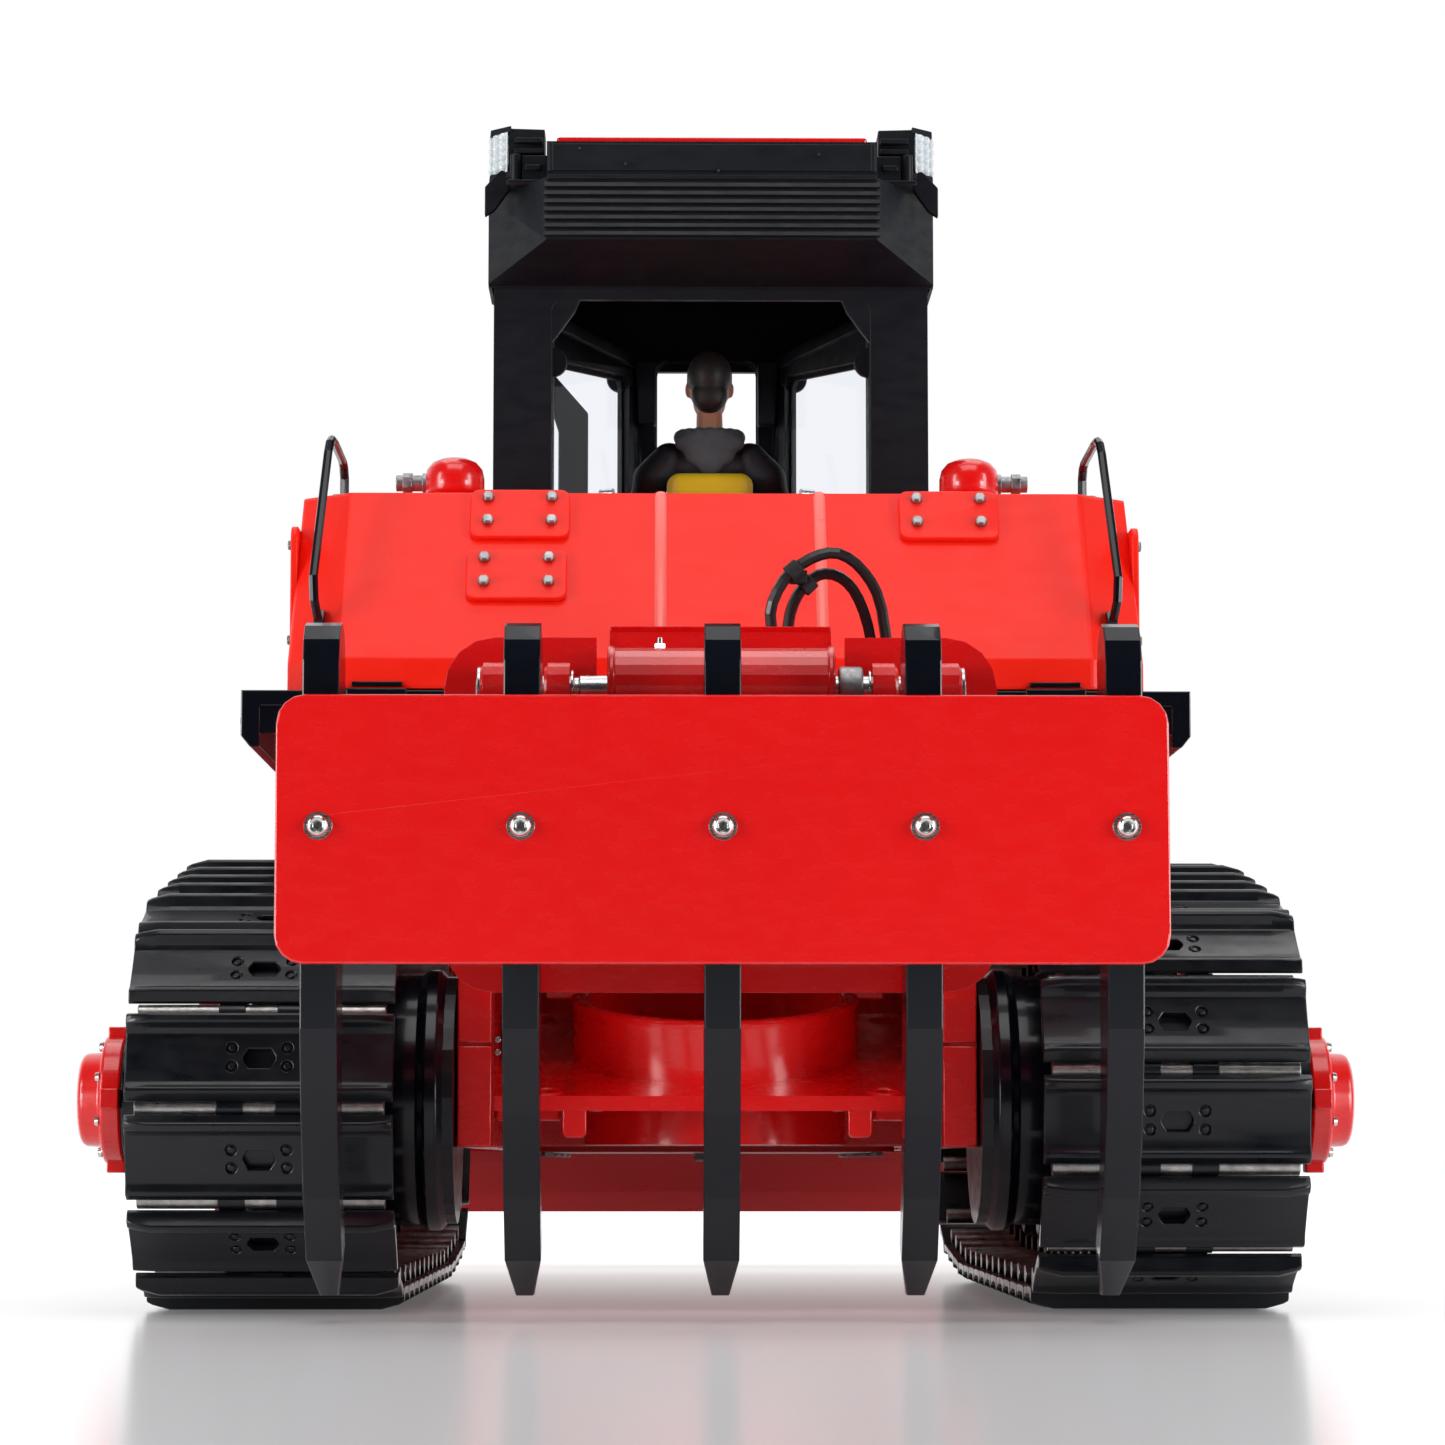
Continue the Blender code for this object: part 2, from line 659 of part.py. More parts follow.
def make_filler_cap(side, sign):
    """A domed cap on a neck, with a short vent pipe."""
    profile = (
        (17.4, 0.0), (17.0, 3.4), (15.8, 5.4), (13.6, 6.5), (9.5, 6.5), (8.5, 5.0),
        (8.5, 4.6), (0.3, 4.6), (0.3, 0.0),
    )
    cap = turned("cap", profile, (sign * 60.5, -61, HOUSING_TOP), (0, 0, 1))
    pipe = rod("pipe", (sign * 62, -61, 189.6), (sign * 73.5, -61, 189.6), 1.7, sides=12)
    finish(join(cap, pipe), "filler_cap_" + side, RED)


# ---------------------------------------------------------------- engine


def hood_ring(y, top):
    return [
        (-40.0, y, FRONT_DECK_TOP + GAP), (40.0, y, FRONT_DECK_TOP + GAP), (40.0, y, top - 10.0),
        (33.0, y, top), (-33.0, y, top), (-40.0, y, top - 10.0),
    ]


def make_hood():
    outer = loft("outer", [hood_ring(CAB_FRONT + 2.5, 176.0), hood_ring(156.0, 168.0)])
    core = box("core", (-38, CAB_FRONT - 2, 110), (38, 153.5, 158))
    crown = box("crown", (-32, CAB_FRONT - 2, 150), (32, 153.5, 165.5))
    hood = cut(outer, join(core, crown))
    seat = rod("seat", (15, 112, 160), (15, 112, 180), 3.4)
    finish(cut(hood, seat), "engine_hood", RED)


def make_exhaust():
    profile = (
        (208.0, 2.4), (208.0, 3.1), (192.0, 3.1), (191.0, 4.6), (177.0, 4.6), (176.0, 3.1),
        (166.0, 3.1), (166.0, 2.4),
    )
    stack = turned("stack", profile, (15, 112, 0), (0, 0, 1), 16)
    finish(stack, "exhaust_stack", BLACK_MATTE)


def make_grille():
    """A flat guard with upright slots in front of the radiator."""
    rings = [rectangle((-46, 48), (46, 167), 5)]
    for column in range(9):
        middle = -36 + 9 * column
        rings.append(rectangle((middle - 2.6, 60), (middle + 2.6, 155), 2.2, 2))
    grille = plate("grille", rings, "Y", FRAME_FRONT + GAP, FRAME_FRONT + 4)
    finish(grille, "radiator_grille", BLACK_MATTE)


# ---------------------------------------------------------------- cab


def cab_plan(outset):
    """The cab's six-sided plan, widest at the back and narrow at the nose."""
    half = [
        (CAB_HALF_WIDTH + outset, CAB_REAR - outset),
        (CAB_HALF_WIDTH + outset, CAB_WAIST + outset * 0.2),
        (CAB_NOSE + outset * 0.7, CAB_FRONT + outset),
    ]
    return both_sides(half)


DOOR_RUN = Vector((CAB_NOSE - CAB_HALF_WIDTH, CAB_FRONT - CAB_WAIST)).normalized()
DOOR_OUT = Vector((DOOR_RUN.y, -DOOR_RUN.x))


def wall_slab(name, rings, low, high, sign):
    """Rings of (distance along the slanted cab wall, height), from low to high outside it."""
    slab = plate(name, rings, "Y", -high, -low)
    along = Vector((DOOR_RUN.x, DOOR_RUN.y, 0.0))
    outward = Vector((DOOR_OUT.x, DOOR_OUT.y, 0.0))
    basis = Matrix((along, -outward, (0.0, 0.0, 1.0))).transposed().to_4x4()
    place = Matrix.Translation(Vector((CAB_HALF_WIDTH, CAB_WAIST, 0.0)) * MM)
    slab.data.transform(place @ basis)
    if sign < 0:
        slab.data.transform(Matrix.Diagonal((-1.0, 1.0, 1.0, 1.0)))
        slab.data.flip_normals()
    return slab


def make_cab_shell():
    walls = plate("walls", [cab_plan(0.0), cab_plan(-CAB_WALL)], "Z", DECK_TOP + 1.5, CAB_TOP)
    sill = plate("sill", [cab_plan(0.6)], "Z", DECK_TOP + GAP, DECK_TOP + 3.0)
    shell = join(walls, sill)
    rear = plate("rear", [rectangle((-38.5, 176), (38.5, 239), 3)], "Y", CAB_REAR - 5, CAB_REAR + 5)
    front = plate("front", [rectangle((-13.7, 160), (13.7, 244.5), 4)], "Y", CAB_FRONT - 8, CAB_FRONT + 5)
    doorways = []
    for sign in (-1, 1):
        ring = rectangle((6.0, 138.0), (91.5, 241.8))
        doorways.append(wall_slab("doorway", [ring], -6, 6, sign))
    finish(cut(shell, rear, front, *doorways), "cab_shell", BLACK_MATTE)


def door_hinge(sign):
    place = Vector((CAB_HALF_WIDTH, CAB_WAIST)) + DOOR_RUN * 7.8 + DOOR_OUT * 1.3
    return (sign * place.x, place.y, 190.0)


def make_cab_door(side, sign):
    """A slanted door that is mostly window, hinged at its rear edge."""
    leaf = rectangle((6.5, 138.6), (91.0, 241.3))
    window = [
        (17, 168), (84.5, 168), (86, 170), (86, 236), (84, 238.3), (18.5, 232), (15.5, 229), (15.5, 169.5),
    ]
    door = wall_slab("leaf", [leaf, window], -CAB_WALL, 0.0, sign)
    knuckles = []
    for height in (150.0, 225.0):
        ring = rectangle((6.6, height), (9.0, height + 8))
        knuckles.append(wall_slab("knuckle", [ring], -1.0, 2.3, sign))
    finish(join(door, *knuckles), "cab_door_" + side, BLACK_MATTE, door_hinge(sign))


def make_visor():
    """The black roof box: a skirt round the cab, a rear overhang and a narrower top."""
    lower_plan = both_sides([(39.2, -61), (53.9, -37), (53.9, -15.4), (21.5, 77)])
    upper_plan = both_sides([(39.2, -60.9), (39.2, -34), (46, -13), (17.5, 71)])
    lower = plate("lower", [lower_plan], "Z", 241.7, 263.2)
    upper = plate("upper", [upper_plan], "Z", 262, 271.8)
    visor = join(lower, upper)
    hollow = plate("hollow", [cab_plan(0.5)], "Z", 230, 247.5)
    under = [(-70, 230), (-35.8, 230), (-35.8, 242), (-61, 248.1), (-70, 248.1)]
    overhang = plate("overhang", [under], "X", -60, 60)
    visor = cut(visor, hollow, overhang)
    core = plate("core", [both_sides([(33, -28), (40, -14), (14, 64)])], "Z", 240, 267.5)
    finish(cut(visor, core), "cab_visor", BLACK_MATTE)


def make_roof():
    plan = both_sides([(37, -56), (37, -33), (43.5, -13), (16, 68)])
    roof = plate("roof", [plan], "Z", 272.1, 274.0)
    finish(roof, "cab_roof", RED)


def make_work_light(side, sign):
    """A finned lamp on a corner of the roof that shines outwards."""
    low, high = sorted((sign * 39.8, sign * 53.2))
    body = box("body", (low, -50, 263.5), (high, -38, 278), 1.6)
    fins = []
    for row in range(4):
        bottom = 265.0 + 2.8 * row
        low, high = sorted((sign * 41.5, sign * 50.0))
        fins.append(box("fin", (low, -52, bottom), (high, -49, bottom + 1.5)))
    finish(join(body, *fins), "work_light_" + side, BLACK_MATTE)


def make_seat():
    base = box("base", (-8, -10, DECK_TOP + 3.3), (8, 8, 160))
    cushion = box("cushion", (-11, -12, 158), (11, 14, 165.5), 1.5)
    back = box("back", (-10.2, -17, 161), (10.2, -10.5, 200.5), 2.0)
    finish(join(base, cushion, back), "driver_seat", YELLOW)


def make_driver():
    """A small seated figure with its hands forward on the levers."""
    torso = loft(
        "torso",
        [
            [(8, -9.5, 166), (8, 1, 166), (-8, 1, 166), (-8, -9.5, 166)],
            [(8.5, -9.8, 184), (8.5, 0, 184), (-8.5, 0, 184), (-8.5, -9.8, 184)],
            [(13, -9.0, 201), (13, 0, 201), (-13, 0, 201), (-13, -9.0, 201)],
            [(7, -8.0, 207.5), (7, -1, 207.5), (-7, -1, 207.5), (-7, -8.0, 207.5)],
        ],
    )
    pieces = [
        rod("neck", (0, -4.5, 205), (0, -4.0, 219), 3.2, sides=12),
        ball("head", (0, -3.6, 224.2), (5.4, 6.4, 7.8)),
        ball("hood", (0, -5.6, 208.5), (9.0, 5.2, 5.2)),
    ]
    for sign in (-1, 1):
        shoulder = (sign * 12.5, -4.5, 200.5)
        elbow = (sign * 17.0, -1.0, 183.0)
        hand = (sign * 12.5, 17.0, 179.0)
        hip = (sign * 4.5, -2.0, 170.2)
        knee = (sign * 7.5, 25.0, 169.6)
        foot = (sign * 7.5, 30.0, 138.5)
        pieces.append(rod("upper_arm", shoulder, elbow, 4.3, 3.6, 10))
        pieces.append(rod("forearm", elbow, hand, 3.5, 2.6, 10))
        pieces.append(ball("elbow", elbow, (3.7, 3.7, 3.7)))
        pieces.append(rod("thigh", hip, knee, 4.4, 3.9, 10))
        pieces.append(rod("shin", knee, foot, 3.9, 2.9, 10))
        pieces.append(ball("knee", knee, (4.0, 4.0, 4.0)))
        low, high = sign * 7.5 - 3.2, sign * 7.5 + 3.2
        pieces.append(box("shoe", (low, 26, DECK_TOP + 3.4), (high, 39, 140), 1.2))
    finish(join(torso, *pieces), "driver_figure", CLOTH_DARK)


def make_console():
    outline = [(47, DECK_TOP + 3.4), (62, DECK_TOP + 3.4), (62, 176), (52, 176), (46, 166)]
    console = plate("console", [outline], "X", -15, 15)
    finish(console, "control_console", BLACK_MATTE)


# ---------------------------------------------------------------- ripper


def tapered_tips(obj, start, low_share):
    """Narrows a piece across X below a height, as a chisel point."""
    middle = sum(vertex.co.x for vertex in obj.data.vertices) / len(obj.data.vertices)
    for vertex in obj.data.vertices:
        if vertex.co.z < start * MM:
            vertex.co.x = middle + (vertex.co.x - middle) * low_share


def make_shank(number, x):
    """An upright tooth with a round top, a foot that curves forward and a chisel point."""
    depth = SHANK_FRONT - SHANK_REAR
    outline = arc((SHANK_REAR + depth / 2, SHANK_TOP - depth / 2), depth / 2, 180, 0, 6)
    outline += [(SHANK_FRONT, 56.0), (-229.3, 40.0), (-225.0, 26.0), (-218.5, 15.0)]
    outline += [(-207.5, TIP_Z), (-212.5, TIP_Z), (-225.5, 12.0)]
    outline += [(-234.0, 24.0), (-241.0, 40.0), (-245.2, 56.0), (SHANK_REAR, 74.0)]
    low, high = x - SHANK_WIDTH / 2, x + SHANK_WIDTH / 2
    shank = plate("shank", [outline], "X", low, high)
    tapered_tips(shank, TIP_Z + 1, 0.5)
    hole = rod("hole", (x, SHANK_REAR - 2, 94), (x, SHANK_REAR + 10, 94), 1.5, sides=10)
    finish(cut(shank, hole), f"ripper_shank_{number}", BLACK_GLOSS)


def make_face_plate():
    rings = [rectangle((-84.5, 68), (84.5, 119), 5.5, 4)]
    rings += [circle((x, 94), 1.6, 10) for x in SHANK_XS]
    finish(plate("face", rings, "Y", -250, -247), "ripper_face_plate", RED)


def make_screw(number, x):
    profile = ((12.5, 0.0), (12.5, 1.2), (0.0, 1.2), (0.0, 2.05), (-1.7, 2.05), (-1.7, 0.0))
    screw = turned("screw", profile, (x, -250.3, 94), (0, 1, 0), 12)
    finish(screw, f"ripper_screw_{number}", STEEL)


def make_comb(low):
    """A shelf that holds the shanks: solid in front and slotted where each shank passes."""
    slot = SHANK_WIDTH / 2 + GAP
    shelf = box("shelf", (-81, SHANK_REAR, low), (81, -214.6, low + 3))
    slots = []
    for x in SHANK_XS:
        slots.append(box("slot", (x - slot, -250, low - 2), (x + slot, -229.7, low + 5)))
    return cut(shelf, *slots)


def make_carriage():
    """The frame behind the face plate: a notched plate, two combs and the pivot ears."""
    notch, top = 24.5, SHANK_TOP
    outline = rectangle((-54.5, 64), (54.5, top), 10, 4)
    split = len(outline) // 2
    dip = [(notch, top), (notch, 112.4), (-notch, 112.4), (-notch, top)]
    outline = outline[:split] + dip + outline[split:]
    frame = plate("plate", [outline], "Y", -216.6, -213.6)
    combs = [make_comb(70.0), make_comb(107.5)]
    ears = []
    ear_outline = [(-214.4, 109), (-214.4, 126)] + arc(LINK_END, 5.4, 55, 200, 6) + [(-226.4, 109)]
    for low, high in ((29.6, 34.0), (42.2, 46.6)):
        for sign in (-1, 1):
            start, end = sorted((sign * low, sign * high))
            ears.append(plate("ear", [ear_outline, circle(LINK_END, 3.3, 12)], "X", start, end))
    lug_outline = [(-214.4, 87), (-214.4, 73)] + arc(ARM_END, 4.6, -90, 90, 6)
    for sign in (-1, 1):
        start, end = sorted((sign * 29.5, sign * 34.0))
        ears.append(plate("lug", [lug_outline, circle(ARM_END, 2.3, 12)], "X", start, end))
    finish(join(frame, *combs, *ears), "ripper_carriage", RED, (0, *ARM_END))


def make_top_pin():
    profile = ((48.0, 0.0), (48.0, 2.6), (47.4, 3.0), (-47.4, 3.0), (-48.0, 2.6), (-48.0, 0.0))
    finish(turned("pin", profile, (0, *LINK_END), (1, 0, 0), 16), "ripper_top_pin", STEEL)


def make_top_link():
    """A wide tube on the carriage's pin, with a flange on top and an arm to the main frame."""
    profile = ((22.0, 3.3), (22.0, 8.4), (-22.0, 8.4), (-22.0, 3.3))
    barrel = turned("barrel", profile, (0, *LINK_END), (1, 0, 0), 24)
    flange = box("flange", (-22, -213.6, 121), (22, -211.4, 136.3))
    web_outline = [(-214, 118.5), (-176, 117.5), (-176, 128.5), (-214, 127.5)]
    web = plate("web", [web_outline], "X", -5, 5)
    boss = rod("boss", (-6, *LINK_PIVOT), (6, *LINK_PIVOT), 5.5)
    pin = rod("pin", (-10.8, *LINK_PIVOT), (10.8, *LINK_PIVOT), 2.1, sides=12)
    finish(join(barrel, flange, web, boss, pin), "ripper_top_link", RED, (0, *LINK_PIVOT))


def make_lower_arm():
    """Two arms on a cross tube, with pins for the carriage and a cross bar for the cylinder."""
    tube_bar = rod("tube", (-45.8, *ARM_PIVOT), (45.8, *ARM_PIVOT), 5.5)
    pieces = [rod("pin", (-53.6, *ARM_PIVOT), (53.6, *ARM_PIVOT), 2.5, sides=12)]
    pieces.append(rod("bar", (-36, *RIPPER_EYE), (36, *RIPPER_EYE), 1.8, sides=12))
    outline = (
        arc(ARM_END, 5.0, 180, 270, 3)
        + [(-160, 76), (-160, 84), (-190, 91), (-199, 91)]
        + arc(ARM_END, 5.0, 90, 180, 3)[:-1]
    )
    for sign in (-1, 1):
        start, end = sorted((sign * 34.4, sign * 41.0))
        pieces.append(plate("arm", [outline], "X", start, end))
        start, end = sorted((sign * 29.5, sign * 36.0))
        pieces.append(rod("stub", (start, *ARM_END), (end, *ARM_END), 2.0, sides=12))
    finish(join(tube_bar, *pieces), "ripper_lower_arm", RED, (0, *ARM_PIVOT))


def ripper_line():
    start = Vector((0.0, *RIPPER_TRUNNION))
    return start, Vector((0.0, *RIPPER_EYE)) - start


def make_ripper_cylinder():
    start, run = ripper_line()
    profile = ((11.0, 2.1), (11.0, 4.4), (-16.0, 4.4), (-16.0, 0.6), (-14.2, 0.6), (-14.2, 2.1))
    barrel = turned("barrel", profile, start, run, 16)
    pins = []
    for sign in (-1, 1):
        inner = Vector((sign * 3.2, *RIPPER_TRUNNION))
        outer = Vector((sign * 10.6, *RIPPER_TRUNNION))
        pins.append(rod("stub", inner, outer, 1.9, sides=12))
    place = (0, *RIPPER_TRUNNION)
    finish(join(barrel, *pins), "ripper_cylinder_barrel", BLACK_GLOSS, place)
    length = run.length
    way = run.normalized()
    shaft = rod("shaft", start + way * 4.8, start + way * (length - 3.9), 1.8, sides=12)
    eye = plate("eye", [circle(RIPPER_EYE, 5.2), circle(RIPPER_EYE, 3.4)], "X", -2.6, 2.6)
    finish(join(shaft, eye), "ripper_cylinder_rod", STEEL, (0, *RIPPER_TRUNNION))


# Routes of the two hoses over the ripper, from the rear wall out, up, over and back to it
HOSE_ROUTES = {
    "hydraulic_hose_1": (
        (15.0, -150.6, 113.0), (14.6, -156.0, 113.3), (13.4, -165.5, 118.0), (13.2, -174.5, 126.5),
        (12.2, -181.5, 135.5), (10.6, -184.0, 143.0), (13.4, -184.8, 149.8), (18.8, -185.0, 154.2),
        (24.6, -184.6, 155.4), (30.0, -182.4, 151.8), (33.8, -178.6, 144.5), (36.2, -168.0, 128.0),
        (37.2, -157.0, 117.0), (37.2, -150.6, 116.4),
    ),
    "hydraulic_hose_2": (
        (19.0, -150.6, 104.0), (18.6, -156.0, 104.3), (17.6, -163.0, 110.0), (16.0, -169.0, 119.0),
        (15.0, -175.0, 131.0), (14.4, -178.8, 141.0), (16.4, -180.6, 147.4), (20.6, -181.0, 151.4),
        (25.2, -180.6, 151.0), (29.0, -178.6, 146.8), (31.8, -174.0, 138.5), (33.2, -166.0, 125.0),
        (33.8, -156.5, 111.4), (33.8, -150.6, 110.8),
    ),
}
HOSE_RADIUS = 1.2
HOSE_POINTS_PER_SPAN = 3


def smooth_route(points, per_span):
    """Points on a smooth curve through the given ones."""
    places = [Vector(point) for point in points]
    ends = [places[0] * 2 - places[1], *places, places[-1] * 2 - places[-2]]
    route = []
    for index in range(len(places) - 1):
        before, start, end, after = ends[index : index + 4]
        for step in range(per_span):
            t = step / per_span
            route.append(
                0.5
                * (
                    2 * start
                    + (end - before) * t
                    + (2 * before - 5 * start + 4 * end - after) * t**2
                    + (3 * start - before - 3 * end + after) * t**3
                )
            )
    route.append(places[-1])
    return route


def make_hoses():
    for name, points in HOSE_ROUTES.items():
        finish(tube("hose", smooth_route(points, HOSE_POINTS_PER_SPAN), HOSE_RADIUS), name, HOSE_BLACK)


# ---------------------------------------------------------------- blade


def blade_arc(radius, bottom, top, steps):
    """Part of the blade's hollow curve, between two heights."""
    first = math.degrees(math.asin((bottom - BLADE_CURVE_Z) / radius))
    last = math.degrees(math.asin((top - BLADE_CURVE_Z) / radius))
    return arc((BLADE_CURVE_Y, BLADE_CURVE_Z), radius, 180 - first, 180 - last, steps)


def make_blade():
    """A curved mouldboard with end plates, a cutting edge, a back beam and cylinder lugs."""
    front = blade_arc(BLADE_CURVE, BLADE_BOTTOM + 6, BLADE_TOP, 10)
    back = blade_arc(BLADE_CURVE + 4, BLADE_BOTTOM + 6, BLADE_TOP, 10)
    inner = BLADE_HALF_WIDTH - 3
    board = plate("board", [front + back[::-1]], "X", -inner, inner)
    edge_outline = [(241.5, 28), (239.0, 27), (247.0, BLADE_BOTTOM), (252.0, BLADE_BOTTOM)]
    pieces = [plate("edge", [edge_outline], "X", -inner, inner)]
    beam = [(214, 34), (236, 34), (230, 54), (214, 54)]
    pieces.append(plate("beam", [beam], "X", -138, 138))
    end_outline = [
        (242, 20), (250.5, 20), (249.5, BLADE_TOP - 0.6), (238, BLADE_TOP - 0.6),
        (226, 92), (222, 66), (226, 40),
    ]
    lug_outline = [(231, 46), (231, 84), (206, 66)] + arc(LIFT_EYE, 6.0, 60, 250, 6) + [(216, 46)]
    for sign in (-1, 1):
        low, high = sorted((sign * (inner - 1), sign * BLADE_HALF_WIDTH))
        pieces.append(plate("end", [end_outline], "X", low, high))
        for near, far in ((LIFT_X - 6.6, LIFT_X - 3.4), (LIFT_X + 3.4, LIFT_X + 6.6)):
            low, high = sorted((sign * near, sign * far))
            pieces.append(plate("lug", [lug_outline], "X", low, high))
        start = (sign * (LIFT_X - 5), *LIFT_EYE)
        pieces.append(rod("pin", start, (sign * (LIFT_X + 5), *LIFT_EYE), 2.0, sides=12))
    finish(join(board, *pieces), "blade", RED, (0, *PUSH_PIVOT))


def make_push_arm(side, sign):
    outline = [(205, 35), (213.6, 35), (213.6, 52), (205, 52), (20, 49)]
    outline += arc(PUSH_PIVOT, 9.0, 50, 310, 8) + [(20, 35)]
    low, high = sorted((sign * 123.2, sign * 130.6))
    arm = plate("arm", [outline, circle(PUSH_PIVOT, 4.3)], "X", low, high)
    finish(arm, "push_arm_" + side, RED, (0, *PUSH_PIVOT))


def make_lift_cylinder(side, sign):
    start = Vector((sign * LIFT_X, *LIFT_TRUNNION))
    run = Vector((sign * LIFT_X, *LIFT_EYE)) - start
    way = run.normalized()
    profile = (
        (72.0, 2.9), (72.0, 5.0), (66.0, 5.0), (65.5, 4.4), (-19.0, 4.4), (-20.0, 3.6),
        (-20.0, 0.6), (4.5, 0.6), (4.5, 2.9),
    )
    barrel = turned("barrel", profile, start, run, 16)
    collar = box("collar", start - Vector((5.2, 4.6, 4.6)), start + Vector((5.2, 4.6, 4.6)))
    barrel = join(barrel, collar)
    bore = rod("bore", start - Vector((9, 0, 0)), start + Vector((9, 0, 0)), 2.5, sides=12)
    name = "lift_cylinder_barrel_" + side
    finish(cut(barrel, bore), name, BLACK_GLOSS, start)
    shaft = rod("shaft", start + way * 50, start + way * (run.length - 3.7), 2.5, sides=12)
    low, high = sorted((sign * (LIFT_X - 3), sign * (LIFT_X + 3)))
    eye = plate("eye", [circle(LIFT_EYE, 5.2), circle(LIFT_EYE, 3.2)], "X", low, high)
    finish(join(shaft, eye), "lift_cylinder_rod_" + side, STEEL, start)


# ---------------------------------------------------------------- the machine

clear_scene()
PARTS = new_collection("toy_bulldozer")


def build():
    make_main_frame()
    make_rear_housing()
    make_cover_plates()
    make_hood()
    make_exhaust()
    make_grille()
    make_cab_shell()
    make_visor()
    make_roof()
    make_seat()
    make_driver()
    make_console()
    for side, sign in (("left", -1), ("right", 1)):
        make_chain(side, sign)
        make_track_frame(side, sign)
        make_sprocket(side, sign)
        make_idler(side, sign)
        make_carrier_roller(side, sign)
        make_fender(side, sign)
        make_handrail(side, sign)
        make_filler_cap(side, sign)
        make_cab_door(side, sign)
        make_work_light(side, sign)
        make_push_arm(side, sign)
        make_lift_cylinder(side, sign)
    make_blade()
    make_face_plate()
    make_carriage()
    make_top_pin()
    make_top_link()
    make_lower_arm()
    make_ripper_cylinder()
    make_hoses()
    for number, x in enumerate(SHANK_XS, 1):
        make_shank(number, x)
        make_screw(number, x)


build()
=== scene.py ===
"""The toy bulldozer's look: materials for every CAD node, and the detail round them.

Lengths are in millimetres, which MM turns into Blender's metres. The floor, the lamps and the
camera are in metres. +X points to the right seen from behind, +Y forward and +Z up.
"""

import math

import bmesh
import bpy
from mathutils import Matrix, Vector


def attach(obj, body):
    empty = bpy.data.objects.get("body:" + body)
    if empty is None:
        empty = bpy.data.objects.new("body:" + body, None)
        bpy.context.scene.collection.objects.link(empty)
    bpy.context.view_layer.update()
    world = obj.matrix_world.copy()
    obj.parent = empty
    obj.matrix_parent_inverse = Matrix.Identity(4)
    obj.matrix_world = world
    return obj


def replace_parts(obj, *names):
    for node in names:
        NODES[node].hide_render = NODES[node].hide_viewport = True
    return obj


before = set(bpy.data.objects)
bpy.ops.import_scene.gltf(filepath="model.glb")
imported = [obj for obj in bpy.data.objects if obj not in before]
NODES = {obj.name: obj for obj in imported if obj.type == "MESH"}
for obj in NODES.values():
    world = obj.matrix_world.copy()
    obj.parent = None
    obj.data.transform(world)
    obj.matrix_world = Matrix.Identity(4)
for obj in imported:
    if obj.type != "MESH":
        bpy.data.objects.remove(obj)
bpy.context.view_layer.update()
MM = 0.001


# ---------------------------------------------------------------- materials


def new_material(name, color, roughness, metallic=0.0, coat=0.0, specular=0.5):
    material = bpy.data.materials.new(name)
    material.use_nodes = True
    shader = material.node_tree.nodes["Principled BSDF"]
    shader.inputs["Base Color"].default_value = (*color, 1.0)
    shader.inputs["Roughness"].default_value = roughness
    shader.inputs["Metallic"].default_value = metallic
    shader.inputs["Coat Weight"].default_value = coat
    shader.inputs["Coat Roughness"].default_value = 0.08
    shader.inputs["Specular IOR Level"].default_value = specular
    return material, material.node_tree, shader


def noise_node(tree, scale, detail=4.0, stretch=(1.0, 1.0, 1.0), roughness=0.55):
    """Noise in the object's own coordinates, with a scale in cycles per metre."""
    coords = tree.nodes.new("ShaderNodeTexCoord")
    mapping = tree.nodes.new("ShaderNodeMapping")
    mapping.inputs["Scale"].default_value = stretch
    texture = tree.nodes.new("ShaderNodeTexNoise")
    texture.inputs["Scale"].default_value = scale
    texture.inputs["Detail"].default_value = detail
    texture.inputs["Roughness"].default_value = roughness
    tree.links.new(coords.outputs["Object"], mapping.inputs["Vector"])
    tree.links.new(mapping.outputs["Vector"], texture.inputs["Vector"])
    return texture.outputs["Fac"]


def ramp_node(tree, fac, stops):
    ramp = tree.nodes.new("ShaderNodeValToRGB")
    elements = ramp.color_ramp.elements
    while len(elements) < len(stops):
        elements.new(0.5)
    for element, (place, color) in zip(elements, stops):
        element.position = place
        element.color = (*color, 1.0)
    tree.links.new(fac, ramp.inputs["Fac"])
    return ramp.outputs["Color"]


def range_node(tree, fac, low, high, out_low, out_high):
    node = tree.nodes.new("ShaderNodeMapRange")
    node.inputs["From Min"].default_value = low
    node.inputs["From Max"].default_value = high
    node.inputs["To Min"].default_value = out_low
    node.inputs["To Max"].default_value = out_high
    tree.links.new(fac, node.inputs["Value"])
    return node.outputs["Result"]


def bump_node(tree, shader, fac, strength, distance, into="Normal"):
    bump = tree.nodes.new("ShaderNodeBump")
    bump.inputs["Strength"].default_value = strength
    bump.inputs["Distance"].default_value = distance * MM
    tree.links.new(fac, bump.inputs["Height"])
    tree.links.new(bump.outputs["Normal"], shader.inputs[into])


def tint(color, factor):
    return tuple(min(1.0, max(0.0, channel * factor)) for channel in color)


